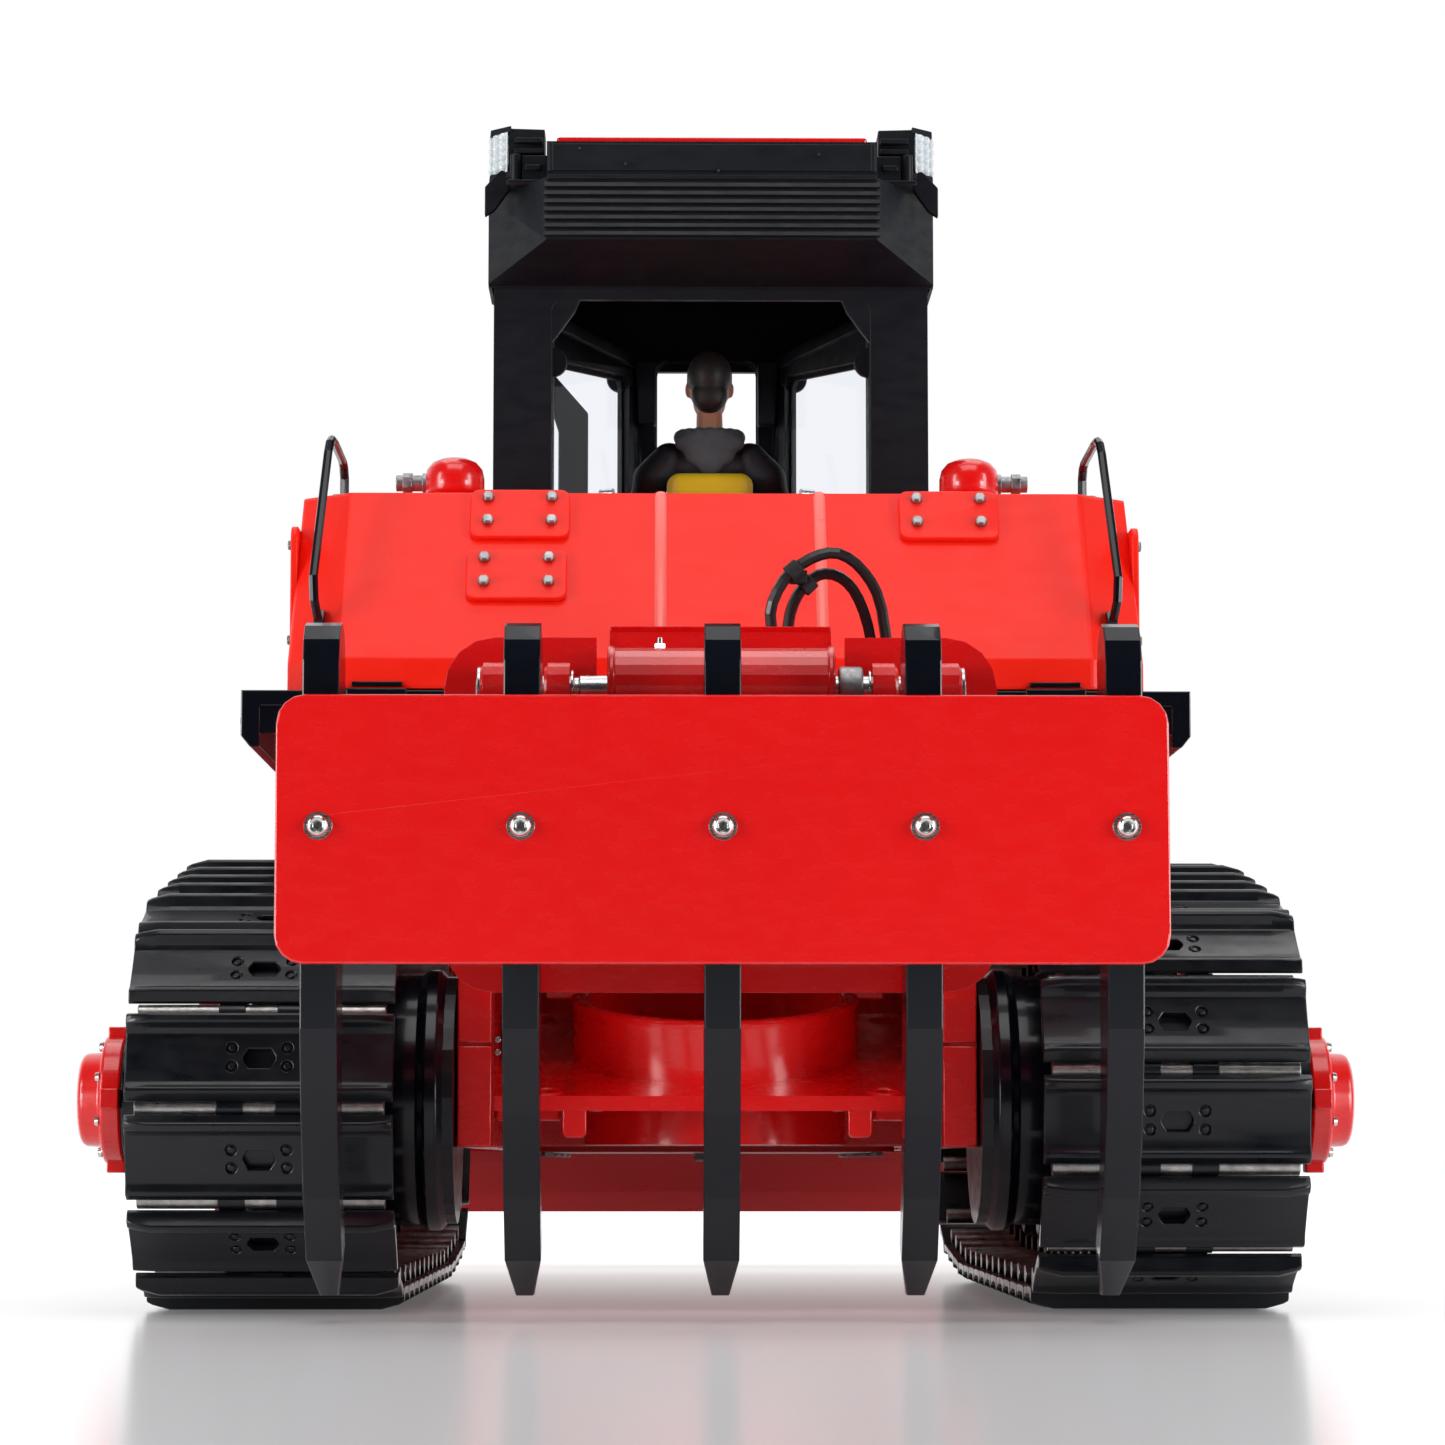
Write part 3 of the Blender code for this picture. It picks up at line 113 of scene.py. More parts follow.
def painted(name, color, roughness, coat, spread=0.06, orange_peel=0.02, scuffs=0.0, specular=0.5):
    """Sprayed paint: slight colour drift, uneven gloss, orange peel and a few fine scuffs."""
    material, tree, shader = new_material(name, color, roughness, coat=coat, specular=specular)
    broad = noise_node(tree, 22.0, 3.0)
    colour = ramp_node(
        tree, broad, [(0.25, tint(color, 1 - spread)), (0.75, tint(color, 1 + spread))]
    )
    tree.links.new(colour, shader.inputs["Base Color"])
    gloss = noise_node(tree, 140.0, 5.0, (1.0, 1.0, 2.5))
    tree.links.new(
        range_node(tree, gloss, 0.3, 0.75, roughness * 0.8, roughness * (1.25 + scuffs)),
        shader.inputs["Roughness"]
    )
    bump_node(tree, shader, noise_node(tree, 900.0, 2.0), orange_peel, 0.04)
    if coat:
        bump_node(
            tree, shader, noise_node(tree, 420.0, 1.0), orange_peel * 0.8, 0.04, "Coat Normal"
        )
    return material


def machined(name, color, roughness, stretch, scale=260.0, mottled=0.0):
    """Bare metal with fine tool lines along one direction."""
    material, tree, shader = new_material(name, color, roughness, metallic=1.0)
    lines = noise_node(tree, scale, 6.0, stretch, 0.7)
    tree.links.new(
        range_node(tree, lines, 0.3, 0.7, roughness * 0.7, roughness * 1.5),
        shader.inputs["Roughness"]
    )
    low = tint(color, 0.78 - mottled)
    colour = ramp_node(tree, noise_node(tree, 330.0, 5.0), [(0.3, low), (0.7, tint(color, 1.08))])
    tree.links.new(colour, shader.inputs["Base Color"])
    bump_node(tree, shader, lines, 0.12 + mottled, 0.05)
    return material


def grained(name, color, roughness, grain=500.0, strength=0.25, spread=0.12):
    """Moulded plastic, rubber or cloth with a fine grain."""
    material, tree, shader = new_material(name, color, roughness)
    colour = ramp_node(
        tree, noise_node(tree, 90.0, 5.0),
        [(0.3, tint(color, 1 - spread)), (0.7, tint(color, 1 + spread))]
    )
    tree.links.new(colour, shader.inputs["Base Color"])
    fine = noise_node(tree, grain, 4.0)
    tree.links.new(
        range_node(tree, fine, 0.3, 0.7, roughness * 0.85, min(1.0, roughness * 1.15)),
        shader.inputs["Roughness"]
    )
    bump_node(tree, shader, fine, strength, 0.08)
    return material


RED = painted("red_paint", (0.80, 0.006, 0.006), 0.26, 0.45, 0.04)
# a brighter red with less sheen: painted light for the rear housing and its cover plates, whose
# slopes face the lamps above
RED_LIT_HOUSING = painted("red_paint_lit_cover", (1.0, 0.016, 0.005), 0.42, 0.05, 0.03, specular=0.25)
# a darker red: painted shade on the blade and the belly plates, and the colour of the dark seams on
# the rear posts; the plate under the grille uses it too
RED_SHADE_AND_SEAMS = painted("red_paint_shade_and_seams", (0.42, 0.004, 0.006), 0.34, 0.15, specular=0.3)
BLACK = painted("black_enamel", (0.0028, 0.0038, 0.0072), 0.22, 0.25, 0.15, 0.06, specular=0.25)
TRACK = painted("track_black", (0.0042, 0.0052, 0.0080), 0.30, 0.30, 0.25, 0.16, 0.5, specular=0.3)
FRAME_BLACK = painted("frame_black", (0.005, 0.006, 0.009), 0.38, 0.10, 0.2, 0.1, specular=0.35)
CAB = painted("cab_satin_black", (0.0060, 0.0072, 0.0105), 0.52, 0.0, 0.18, 0.12, specular=0.22)
CAB_RIB = painted("louvre_black", (0.0060, 0.0070, 0.0100), 0.42, 0.0, 0.15, 0.1, specular=0.28)
STEEL = machined("turned_steel", (0.62, 0.62, 0.61), 0.24, (1.0, 14.0, 14.0))
PIN_STEEL = machined("track_pin_steel", (0.58, 0.56, 0.54), 0.34, (1.5, 10.0, 10.0), 420.0, 0.28)
CAST = machined("cast_grey", (0.42, 0.42, 0.43), 0.46, (1.0, 1.0, 1.0), 700.0, 0.20)
BOLT = machined("bolt_grey", (0.40, 0.39, 0.39), 0.36, (1.0, 1.0, 1.0), 600.0, 0.12)
ZINC = machined("bright_screw", (0.74, 0.73, 0.70), 0.20, (3.0, 3.0, 3.0), 500.0)
RECESS = grained("socket_shadow", (0.012, 0.012, 0.013), 0.6)
YELLOW = grained("seat_yellow", (0.80, 0.54, 0.015), 0.48, 700.0, 0.2, 0.08)
HOSE = grained("hose_rubber", (0.0075, 0.0080, 0.0100), 0.30, 900.0, 0.08, 0.2)
RUBBER = grained("seal_rubber", (0.010, 0.010, 0.011), 0.7, 900.0, 0.3)
JACKET = grained("jacket", (0.014, 0.014, 0.020), 0.62, 320.0, 0.6, 0.35)
HOOD_CLOTH = grained("grey_hood", (0.075, 0.085, 0.095), 0.85, 420.0, 0.6, 0.2)
TROUSERS = grained("trousers", (0.030, 0.040, 0.065), 0.8, 420.0, 0.5, 0.2)
SKIN = grained("figure_skin", (0.50, 0.235, 0.14), 0.5, 600.0, 0.1, 0.06)
HAIR = grained("figure_hair", (0.010, 0.007, 0.006), 0.55, 260.0, 0.9, 0.3)
SCREEN = grained("panel_grey", (0.060, 0.065, 0.070), 0.4, 300.0, 0.1)
# a near-black colour with no sheen: painted shade that keeps the cab ceiling dark
CEILING_SHADE = grained("ceiling_shade_black", (0.0035, 0.0040, 0.0055), 0.9, 700.0, 0.1)
CEILING_SHADE.node_tree.nodes["Principled BSDF"].inputs["Specular IOR Level"].default_value = 0.0
# a pale pink red: painted highlight on the raised folds of the housing
RIB_HIGHLIGHT_RED = painted("red_paint_rib_highlight", (1.0, 0.15, 0.12), 0.34, 0.2, 0.03)
WHITE = grained("marking_white", (0.75, 0.75, 0.74), 0.5, 300.0, 0.1, 0.03)


def lens_material():
    material, tree, shader = new_material("lamp_lens", (0.62, 0.68, 0.70), 0.10, coat=0.6)
    # a faint glow: painted light that brightens the lens
    shader.inputs["Emission Color"].default_value = (0.95, 0.98, 1.0, 1.0)
    shader.inputs["Emission Strength"].default_value = 0.12
    cells = noise_node(tree, 500.0, 1.0)
    bump_node(tree, shader, cells, 0.4, 0.2)
    return material


def glass_material():
    material, tree, shader = new_material("window_glass", (0.88, 0.90, 0.945), 0.02)
    shader.inputs["Transmission Weight"].default_value = 1.0
    shader.inputs["IOR"].default_value = 1.06
    return material


LENS = lens_material()
GLASS = glass_material()

for node_name, node in NODES.items():
    node.data.materials.clear()
    if node_name.startswith(("ripper_shank", "fender", "handrail")):
        look = BLACK
    elif node_name.startswith("track_chain"):
        look = TRACK
    elif node_name.startswith(("track_frame", "idler", "carrier")):
        look = FRAME_BLACK
    elif node_name.startswith("cab_roof"):
        look = RED
    elif node_name.startswith(("cab_", "work_light", "control", "radiator", "exhaust")):
        look = CAB
    elif node_name.startswith(
        ("ripper_top_pin", "ripper_screw", "ripper_cylinder_rod", "lift_cylinder_rod")
    ):
        look = STEEL
    elif node_name.startswith(("ripper_cylinder_barrel", "lift_cylinder_barrel")):
        look = BLACK
    elif node_name.startswith("hydraulic"):
        look = HOSE
    elif node_name == "driver_seat":
        look = YELLOW
    elif node_name == "driver_figure":
        look = JACKET
    # the housing and its cover plates get the brighter red, as painted light
    elif node_name in ("rear_housing", "cover_plate_1", "cover_plate_2", "cover_plate_3"):
        look = RED_LIT_HOUSING
    # the blade gets the darker red: painted shade for the shadow of the body over it
    elif node_name == "blade":
        look = RED_SHADE_AND_SEAMS
    else:
        look = RED
    node.data.materials.append(look)


def smoothing_nodes():
    """A node group that shades a mesh smooth, apart from its sharp edges."""
    group = bpy.data.node_groups.new("smooth_round_faces", "GeometryNodeTree")
    group.interface.new_socket("Geometry", in_out="INPUT", socket_type="NodeSocketGeometry")
    group.interface.new_socket("Geometry", in_out="OUTPUT", socket_type="NodeSocketGeometry")
    start, end = group.nodes.new("NodeGroupInput"), group.nodes.new("NodeGroupOutput")
    faces = group.nodes.new("GeometryNodeSetShadeSmooth")
    edges = group.nodes.new("GeometryNodeSetShadeSmooth")
    edges.domain = "EDGE"
    edges.inputs["Shade Smooth"].default_value = False
    angle = group.nodes.new("GeometryNodeInputMeshEdgeAngle")
    sharp = group.nodes.new("FunctionNodeCompare")
    sharp.operation = "GREATER_THAN"
    sharp.inputs["B"].default_value = math.radians(28)
    group.links.new(angle.outputs["Unsigned Angle"], sharp.inputs["A"])
    group.links.new(sharp.outputs["Result"], edges.inputs["Selection"])
    group.links.new(start.outputs["Geometry"], faces.inputs["Geometry"])
    group.links.new(faces.outputs["Geometry"], edges.inputs["Geometry"])
    group.links.new(edges.outputs["Geometry"], end.inputs["Geometry"])
    return group


SMOOTHING = smoothing_nodes()
ROUND = (
    "main_frame", "idler", "carrier", "ripper_cylinder", "lift_cylinder", "exhaust",
    "ripper_top_pin"
)
# The CAD bodies get small rounded edges, so that they catch the light as real plate does
EDGE = {
    "rear_housing": 0.7, "ripper_face_plate": 0.45, "ripper_carriage": 0.35, "main_frame": 0.35,
    "engine_hood": 0.8, "cab_roof": 0.6, "cab_visor": 0.35, "cab_shell": 0.3, "blade": 0.4,
    "ripper_lower_arm": 0.4, "ripper_top_link": 0.35, "driver_seat": 1.2, "control_console": 0.8
}
for node_name, node in NODES.items():
    if node_name.startswith(("hydraulic", "handrail", "ripper_screw")):
        continue
    width = EDGE.get(node_name, 0.35 if node_name.startswith("ripper_shank") else 0.25)
    weld = node.modifiers.new("weld", "WELD")
    weld.merge_threshold = 0.002 * MM
    bevel = node.modifiers.new("edge", "BEVEL")
    bevel.width = width * MM
    bevel.segments = 2
    bevel.limit_method = "ANGLE"
    bevel.angle_limit = math.radians(32)
    bevel.use_clamp_overlap = True
    bevel.harden_normals = False
    bevel.miter_outer = "MITER_ARC"
    if node_name.startswith(ROUND):
        node.modifiers.new("smooth", "NODES").node_group = SMOOTHING
        weighted = node.modifiers.new("weighted", "WEIGHTED_NORMAL")
        weighted.weight = 80
        weighted.keep_sharp = True


# ---------------------------------------------------------------- shapes


def basis(start, end):
    """A matrix whose Z runs from start to end and whose origin is half-way, with the length."""
    start, end = Vector(start), Vector(end)
    along = end - start
    turn = along.to_track_quat("Z", "Y").to_matrix().to_4x4()
    return Matrix.Translation((start + end) / 2) @ turn, along.length


def new_shapes(count):
    return [bmesh.new() for _ in range(count)]


def add_box(shape, low, high, turn=None, about=None):
    middle = (Vector(low) + Vector(high)) / 2
    size = Vector(high) - Vector(low)
    place = Matrix.Translation(middle) @ Matrix.Diagonal((*size, 1.0))
    if turn is not None:
        pivot = Vector(about) if about is not None else middle
        place = Matrix.Translation(pivot) @ turn @ Matrix.Translation(-pivot) @ place
    bmesh.ops.create_cube(shape, size=1.0, matrix=place)


def across(sign, near, far):
    """The X range, low first, of what stands from near to far out on one side."""
    return sorted((sign * near, sign * far))


def add_side_box(shape, sign, near, far):
    """A box between two corners given for the right side, on the side that sign names."""
    low, high = across(sign, near[0], far[0])
    add_box(shape, (low, *near[1:]), (high, *far[1:]))


def add_rod(shape, start, end, radius, end_radius=None, sides=20, roll=0.0):
    place, length = basis(start, end)
    bmesh.ops.create_cone(
        shape, cap_ends=True, segments=sides, radius1=radius,
        radius2=radius if end_radius is None else end_radius, depth=length,
        matrix=place @ Matrix.Rotation(roll, 4, "Z")
    )


def bridge(shape, rows, ends=False):
    """Faces from ring to ring, with the first and the last ring filled if asked."""
    for first, second in zip(rows, rows[1:]):
        for index in range(len(first)):
            after = (index + 1) % len(first)
            shape.faces.new((first[index], first[after], second[after], second[index]))
    if ends:
        shape.faces.new(rows[0][::-1])
        shape.faces.new(rows[-1])


def add_ball(shape, middle, radii, steps=16):
    radii = (radii,) * 3 if isinstance(radii, (int, float)) else radii
    place = Matrix.Translation(middle) @ Matrix.Diagonal((*radii, 1.0))
    bmesh.ops.create_uvsphere(
        shape, u_segments=steps, v_segments=steps // 2 + 2, radius=1.0, matrix=place
    )


def add_turned(shape, profile, start, direction, sides=32):
    """A skin of rings from (along, radius) pairs about a line, closed where a radius is 0."""
    turn = Vector(direction).to_track_quat("Z", "Y").to_matrix().to_4x4()
    place = Matrix.Translation(Vector(start)) @ turn
    rows = []
    for along, radius in profile:
        if radius == 0:
            rows.append([shape.verts.new(place @ Vector((0, 0, along)))])
            continue
        row = []
        for side in range(sides):
            angle = math.tau * side / sides
            point = Vector((radius * math.cos(angle), radius * math.sin(angle), along))
            row.append(shape.verts.new(place @ point))
        rows.append(row)
    for first, second in zip(rows, rows[1:]):
        for side in range(sides):
            after = (side + 1) % sides
            if len(first) == 1:
                shape.faces.new((first[0], second[side], second[after]))
            elif len(second) == 1:
                shape.faces.new((first[side], second[0], first[after]))
            else:
                shape.faces.new((first[side], second[side], second[after], first[after]))


def add_bolt(shape, place, direction, radius, height, washer=0.0, roll=0.3):
    """A hexagon head with a chamfered top, on a washer if asked."""
    place, direction = Vector(place), Vector(direction).normalized()
    base = place
    if washer:
        add_rod(shape, place - direction * 0.3, place + direction * 0.25, washer, sides=20)
        base = place + direction * 0.2
    add_rod(
        shape, base - direction * 0.2, base + direction * height * 0.75, radius, sides=6, roll=roll
    )
    top = base + direction * height * 0.75
    add_rod(shape, top, top + direction * height * 0.25, radius, radius * 0.82, sides=6, roll=roll)


def add_prism(shape, outline, axis, low, high):
    """An outline extruded along X, Y or Z; across X it is (Y, Z), Y (X, Z), Z (X, Y)."""

    def point(pair, along):
        if axis == "X":
            return (along, pair[0], pair[1])
        if axis == "Y":
            return (pair[0], along, pair[1])
        return (pair[0], pair[1], along)

    near = [shape.verts.new(point(pair, low)) for pair in outline]
    far = [shape.verts.new(point(pair, high)) for pair in outline]
    count = len(outline)
    shape.faces.new(near)
    shape.faces.new(far[::-1])
    for index in range(count):
        after = (index + 1) % count
        shape.faces.new((near[index], far[index], far[after], near[after]))


def finished_mesh(shape, name):
    """The bmesh as a mesh with its faces turned outwards. The bmesh is freed."""
    bmesh.ops.recalc_face_normals(shape, faces=shape.faces)
    mesh = bpy.data.meshes.new(name)
    shape.to_mesh(mesh)
    shape.free()
    return mesh


def new_object(name, data):
    obj = bpy.data.objects.new(name, data)
    bpy.context.scene.collection.objects.link(obj)
    return obj


def piece(shape, name, look, body, bevel=0.0, segments=2, angle=35.0):
    """An object from a bmesh in millimetres that rides on a CAD body."""
    bmesh.ops.scale(shape, vec=(MM, MM, MM), verts=shape.verts)
    mesh = finished_mesh(shape, name)
    mesh.materials.append(look)
    mesh.shade_smooth()
    mesh.set_sharp_from_angle(angle=math.radians(angle))
    obj = new_object(name, mesh)
    if bevel:
        edge = obj.modifiers.new("edge", "BEVEL")
        edge.width = bevel * MM
        edge.segments = segments
        edge.limit_method = "ANGLE"
        edge.angle_limit = math.radians(32)
    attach(obj, body)
    return obj


def wire(name, route, radius, look, body):
    """A round pipe along straight runs."""
    curve = bpy.data.curves.new(name, "CURVE")
    curve.dimensions = "3D"
    curve.bevel_depth = radius * MM
    curve.bevel_resolution = 3
    curve.use_fill_caps = True
    spline = curve.splines.new("POLY")
    spline.points.add(len(route) - 1)
    for point, place in zip(spline.points, route):
        point.co = (*(Vector(place) * MM), 1.0)
    curve.materials.append(look)
    obj = new_object(name, curve)
    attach(obj, body)


def on_circle(centre, radius, angle):
    return centre[0] + radius * math.cos(angle), centre[1] + radius * math.sin(angle)


def arc(middle, radius, start, stop, steps):
    turns = [math.radians(start + (stop - start) * step / steps) for step in range(steps + 1)]
    return [on_circle(middle, radius, turn) for turn in turns]


def rounded(low, high, radius, steps=5):
    near, far = low[0] + radius, high[0] - radius
    bottom, top = low[1] + radius, high[1] - radius
    return (
        arc((far, bottom), radius, -90, 0, steps) + arc((far, top), radius, 0, 90, steps)
        + arc((near, top), radius, 90, 180, steps) + arc((near, bottom), radius, 180, 270, steps)
    )


SIDE = (("left", -1), ("right", 1))


# ---------------------------------------------------------------- tracks

PIN_CIRCLE, TEETH, SHOES = 35.16, 12, 41
SPROCKET = Vector((-148.0, 44.0))
TRACK_X = 92.9
PHASE = {"left": 2.0, "right": -5.1}
IDLER_Z, IDLER_PIN_CIRCLE = 44.5, 31.5
CARRIER = (-76.0, 79.7)
ROLLER_Z = 18.9
PUSH_PIVOT = (10, 42)


def belt(idler_y):
    """The arcs and straights that the pins follow, as (length, kind, data)."""
    circles = (
        (SPROCKET.x, SPROCKET.y, PIN_CIRCLE), (64.0, ROLLER_Z, ROLLER_Z - SPROCKET.y + PIN_CIRCLE),
        (idler_y, IDLER_Z, IDLER_PIN_CIRCLE), (*CARRIER, 11.5)
    )
    normals = []
    for index, (y, z, radius) in enumerate(circles):
        ny, nz, next_radius = circles[(index + 1) % 4]
        span = math.hypot(ny - y, nz - z)
        normals.append(math.atan2(nz - z, ny - y) - math.acos((radius - next_radius) / span))
    runs = []
    for index, (y, z, radius) in enumerate(circles):
        sweep = (normals[index] - normals[index - 1]) % math.tau
        leave = Vector((math.cos(normals[index]), math.sin(normals[index])))
        ny, nz, next_radius = circles[(index + 1) % 4]
        begin = Vector((y, z)) + leave * radius
        end = Vector((ny, nz)) + leave * next_radius
        runs.append((radius * sweep, "arc", (Vector((y, z)), radius, normals[index - 1])))
        runs.append(((end - begin).length, "line", (begin, (end - begin).normalized())))
    return runs


def find_idler():
    near, far = 80.0, 160.0
    wanted = SHOES * math.tau * PIN_CIRCLE / TEETH
    for _ in range(40):
        middle = (near + far) / 2
        if sum(run[0] for run in belt(middle)) < wanted:
            near = middle
        else:
            far = middle
    return near


IDLER_Y = find_idler()


def pin_places(phase):
    runs = belt(IDLER_Y)
    total = sum(run[0] for run in runs)
    pins = []
    for index in range(SHOES):
        distance = (runs[0][0] + phase + index * total / SHOES) % total
        for length, kind, data in runs:
            if distance <= length:
                break
            distance -= length
        if kind == "arc":
            angle = data[2] + distance / data[1]
            pins.append(data[0] + Vector((math.cos(angle), math.sin(angle))) * data[1])
        else:
            pins.append(data[0] + data[1] * distance)
    return pins


def shoe_mesh():
    """One shoe in its own frame: X across, Y along the chain, Z outwards from the pin line."""
    half = 27.1
    profile = [
        (-8.9, 4.35), (-5.0, 4.05), (5.0, 4.05), (8.5, 4.2), (9.0, 4.5), (9.0, 5.0), (8.6, 5.5),
        (7.4, 6.9), (6.6, 6.9), (5.6, 6.1), (4.9, 5.9), (0.0, 5.75), (-4.9, 5.9), (-5.9, 6.6),
        (-6.6, 8.6), (-7.0, 8.84), (-8.1, 8.84), (-8.5, 8.5), (-9.0, 6.0), (-9.2, 5.4)
    ]
    shape = bmesh.new()
    stations = (-half, -half + 1.2, -half + 4.8, half - 4.8, half - 1.2, half)
    rows = []
    for station in stations:
        edge = half - abs(station)
        row = []
        for along, out in profile:
            if out > 6.6 and edge < 4.7:
                out = 6.4 + (out - 6.4) * (0.35 if edge < 0.6 else 0.6)
            row.append(shape.verts.new((station, along, out)))
        rows.append(row)
    bridge(shape, rows, ends=True)
    bmesh.ops.recalc_face_normals(shape, faces=shape.faces)
    return shape


def boolean(target, cutter):
    """The target's mesh with the cutter taken out, and both helper objects removed."""
    change = target.modifiers.new("cut", "BOOLEAN")
    change.operation = "DIFFERENCE"
    change.solver = "EXACT"
    change.object = cutter
    graph = bpy.context.evaluated_depsgraph_get()
    mesh = bpy.data.meshes.new_from_object(target.evaluated_get(graph))
    for helper in (target, cutter):
        old = helper.data
        bpy.data.objects.remove(helper, do_unlink=True)
        bpy.data.meshes.remove(old)
    return mesh


def make_shoe():
    """The shoe with its mud hole and the four bolt pockets."""
    shoe = new_object("shoe", finished_mesh(shoe_mesh(), "shoe"))
    cutters = bmesh.new()
    hole = [
        (-3.2, -0.2), (-2.3, -1.7), (2.3, -1.7), (3.2, -0.2), (3.2, 0.6), (2.2, 2.3), (-2.2, 2.3),
        (-3.2, 0.6)
    ]
    add_prism(cutters, hole, "Z", 0.0, 12.0)
    bolts = [(x, y) for x in (-5.6, 5.6) for y in (-1.9, 1.9)]
    for x, y in bolts:
        add_rod(cutters, (x, y, 5.2), (x, y, 9.0), 1.15, sides=14)
    mesh = boolean(shoe, new_object("shoe_cutter", finished_mesh(cutters, "shoe_cutter")))
    shape = bmesh.new()
    shape.from_mesh(mesh)
    bmesh.ops.remove_doubles(shape, verts=shape.verts, dist=0.01)
    for x, y in bolts:
        add_rod(shape, (x, y, 4.9), (x, y, 5.75), 0.78, sides=6)
    shape.to_mesh(mesh)
    shape.free()
    return mesh


def make_link():
    """One link of the chain's pair, from its own pin to the next, offset as real links are."""
    shape = bmesh.new()
    outline = arc((-9.2, 0.0), 3.7, 100, 260, 8)
    outline += [(-4.0, -2.7), (3.5, -2.7)]
    outline += arc((9.2, 0.0), 3.7, -80, 60, 7)
    outline += [(5.5, 4.6), (-6.6, 4.6)]
    for sign in (-1, 1):
        add_prism(shape, outline, "X", *across(sign, 3.5, 7.9))
    add_box(shape, (-3.4, -3.2, 0.8), (3.4, 3.4, 3.6))
    return finished_mesh(shape, "link")


def shoe_frame(pin, after, middle_x):
    """The matrix that puts a shoe's own frame on the chain between two pins."""
    along = (after - pin).normalized()
    outward = Vector((along.y, -along.x))
    middle = (pin + after) / 2
    return Matrix(
        (
            (1.0, 0.0, 0.0, middle_x), (0.0, along.x, outward.x, middle.x),
            (0.0, along.y, outward.y, middle.y), (0.0, 0.0, 0.0, 1.0)
        )
    )


SHOE = make_shoe()
LINK = make_link()
for side, sign in SIDE:
    places = pin_places(PHASE[side])
    shoes, links, pins, ends = new_shapes(4)
    for index, pin in enumerate(places):
        after = places[(index + 1) % SHOES]
        place = shoe_frame(pin, after, sign * TRACK_X)
        for target, source in ((shoes, SHOE), (links, LINK)):
            count = len(target.verts)
            target.from_mesh(source)
            target.verts.ensure_lookup_table()
            bmesh.ops.transform(target, matrix=place, verts=target.verts[count:])
        x = sign * TRACK_X
        along = (after - places[index - 1]).normalized()
        seen = pin + Vector((along.y, -along.x)) * 2.2
        add_rod(pins, (x - 25.2, *seen), (x + 25.2, *seen), 2.05, sides=16)
        for end in (-1, 1):
            add_rod(ends, (x + end * 8.0, *pin), (x + end * 9.4, *pin), 3.1, sides=14)
            add_rod(ends, (x + end * 3.2, *seen), (x + end * 8.7, *seen), 2.35, sides=16)
    track = piece(shoes, "track_shoes_" + side, TRACK, "tractor", 0.22, 2, 30)
    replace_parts(track, "track_chain_" + side)
    piece(links, "track_links_" + side, TRACK, "tractor", 0.3)
    piece(pins, "track_pins_" + side, PIN_STEEL, "tractor", 0.15)
    piece(ends, "track_bushes_" + side, TRACK, "tractor", 0.15)

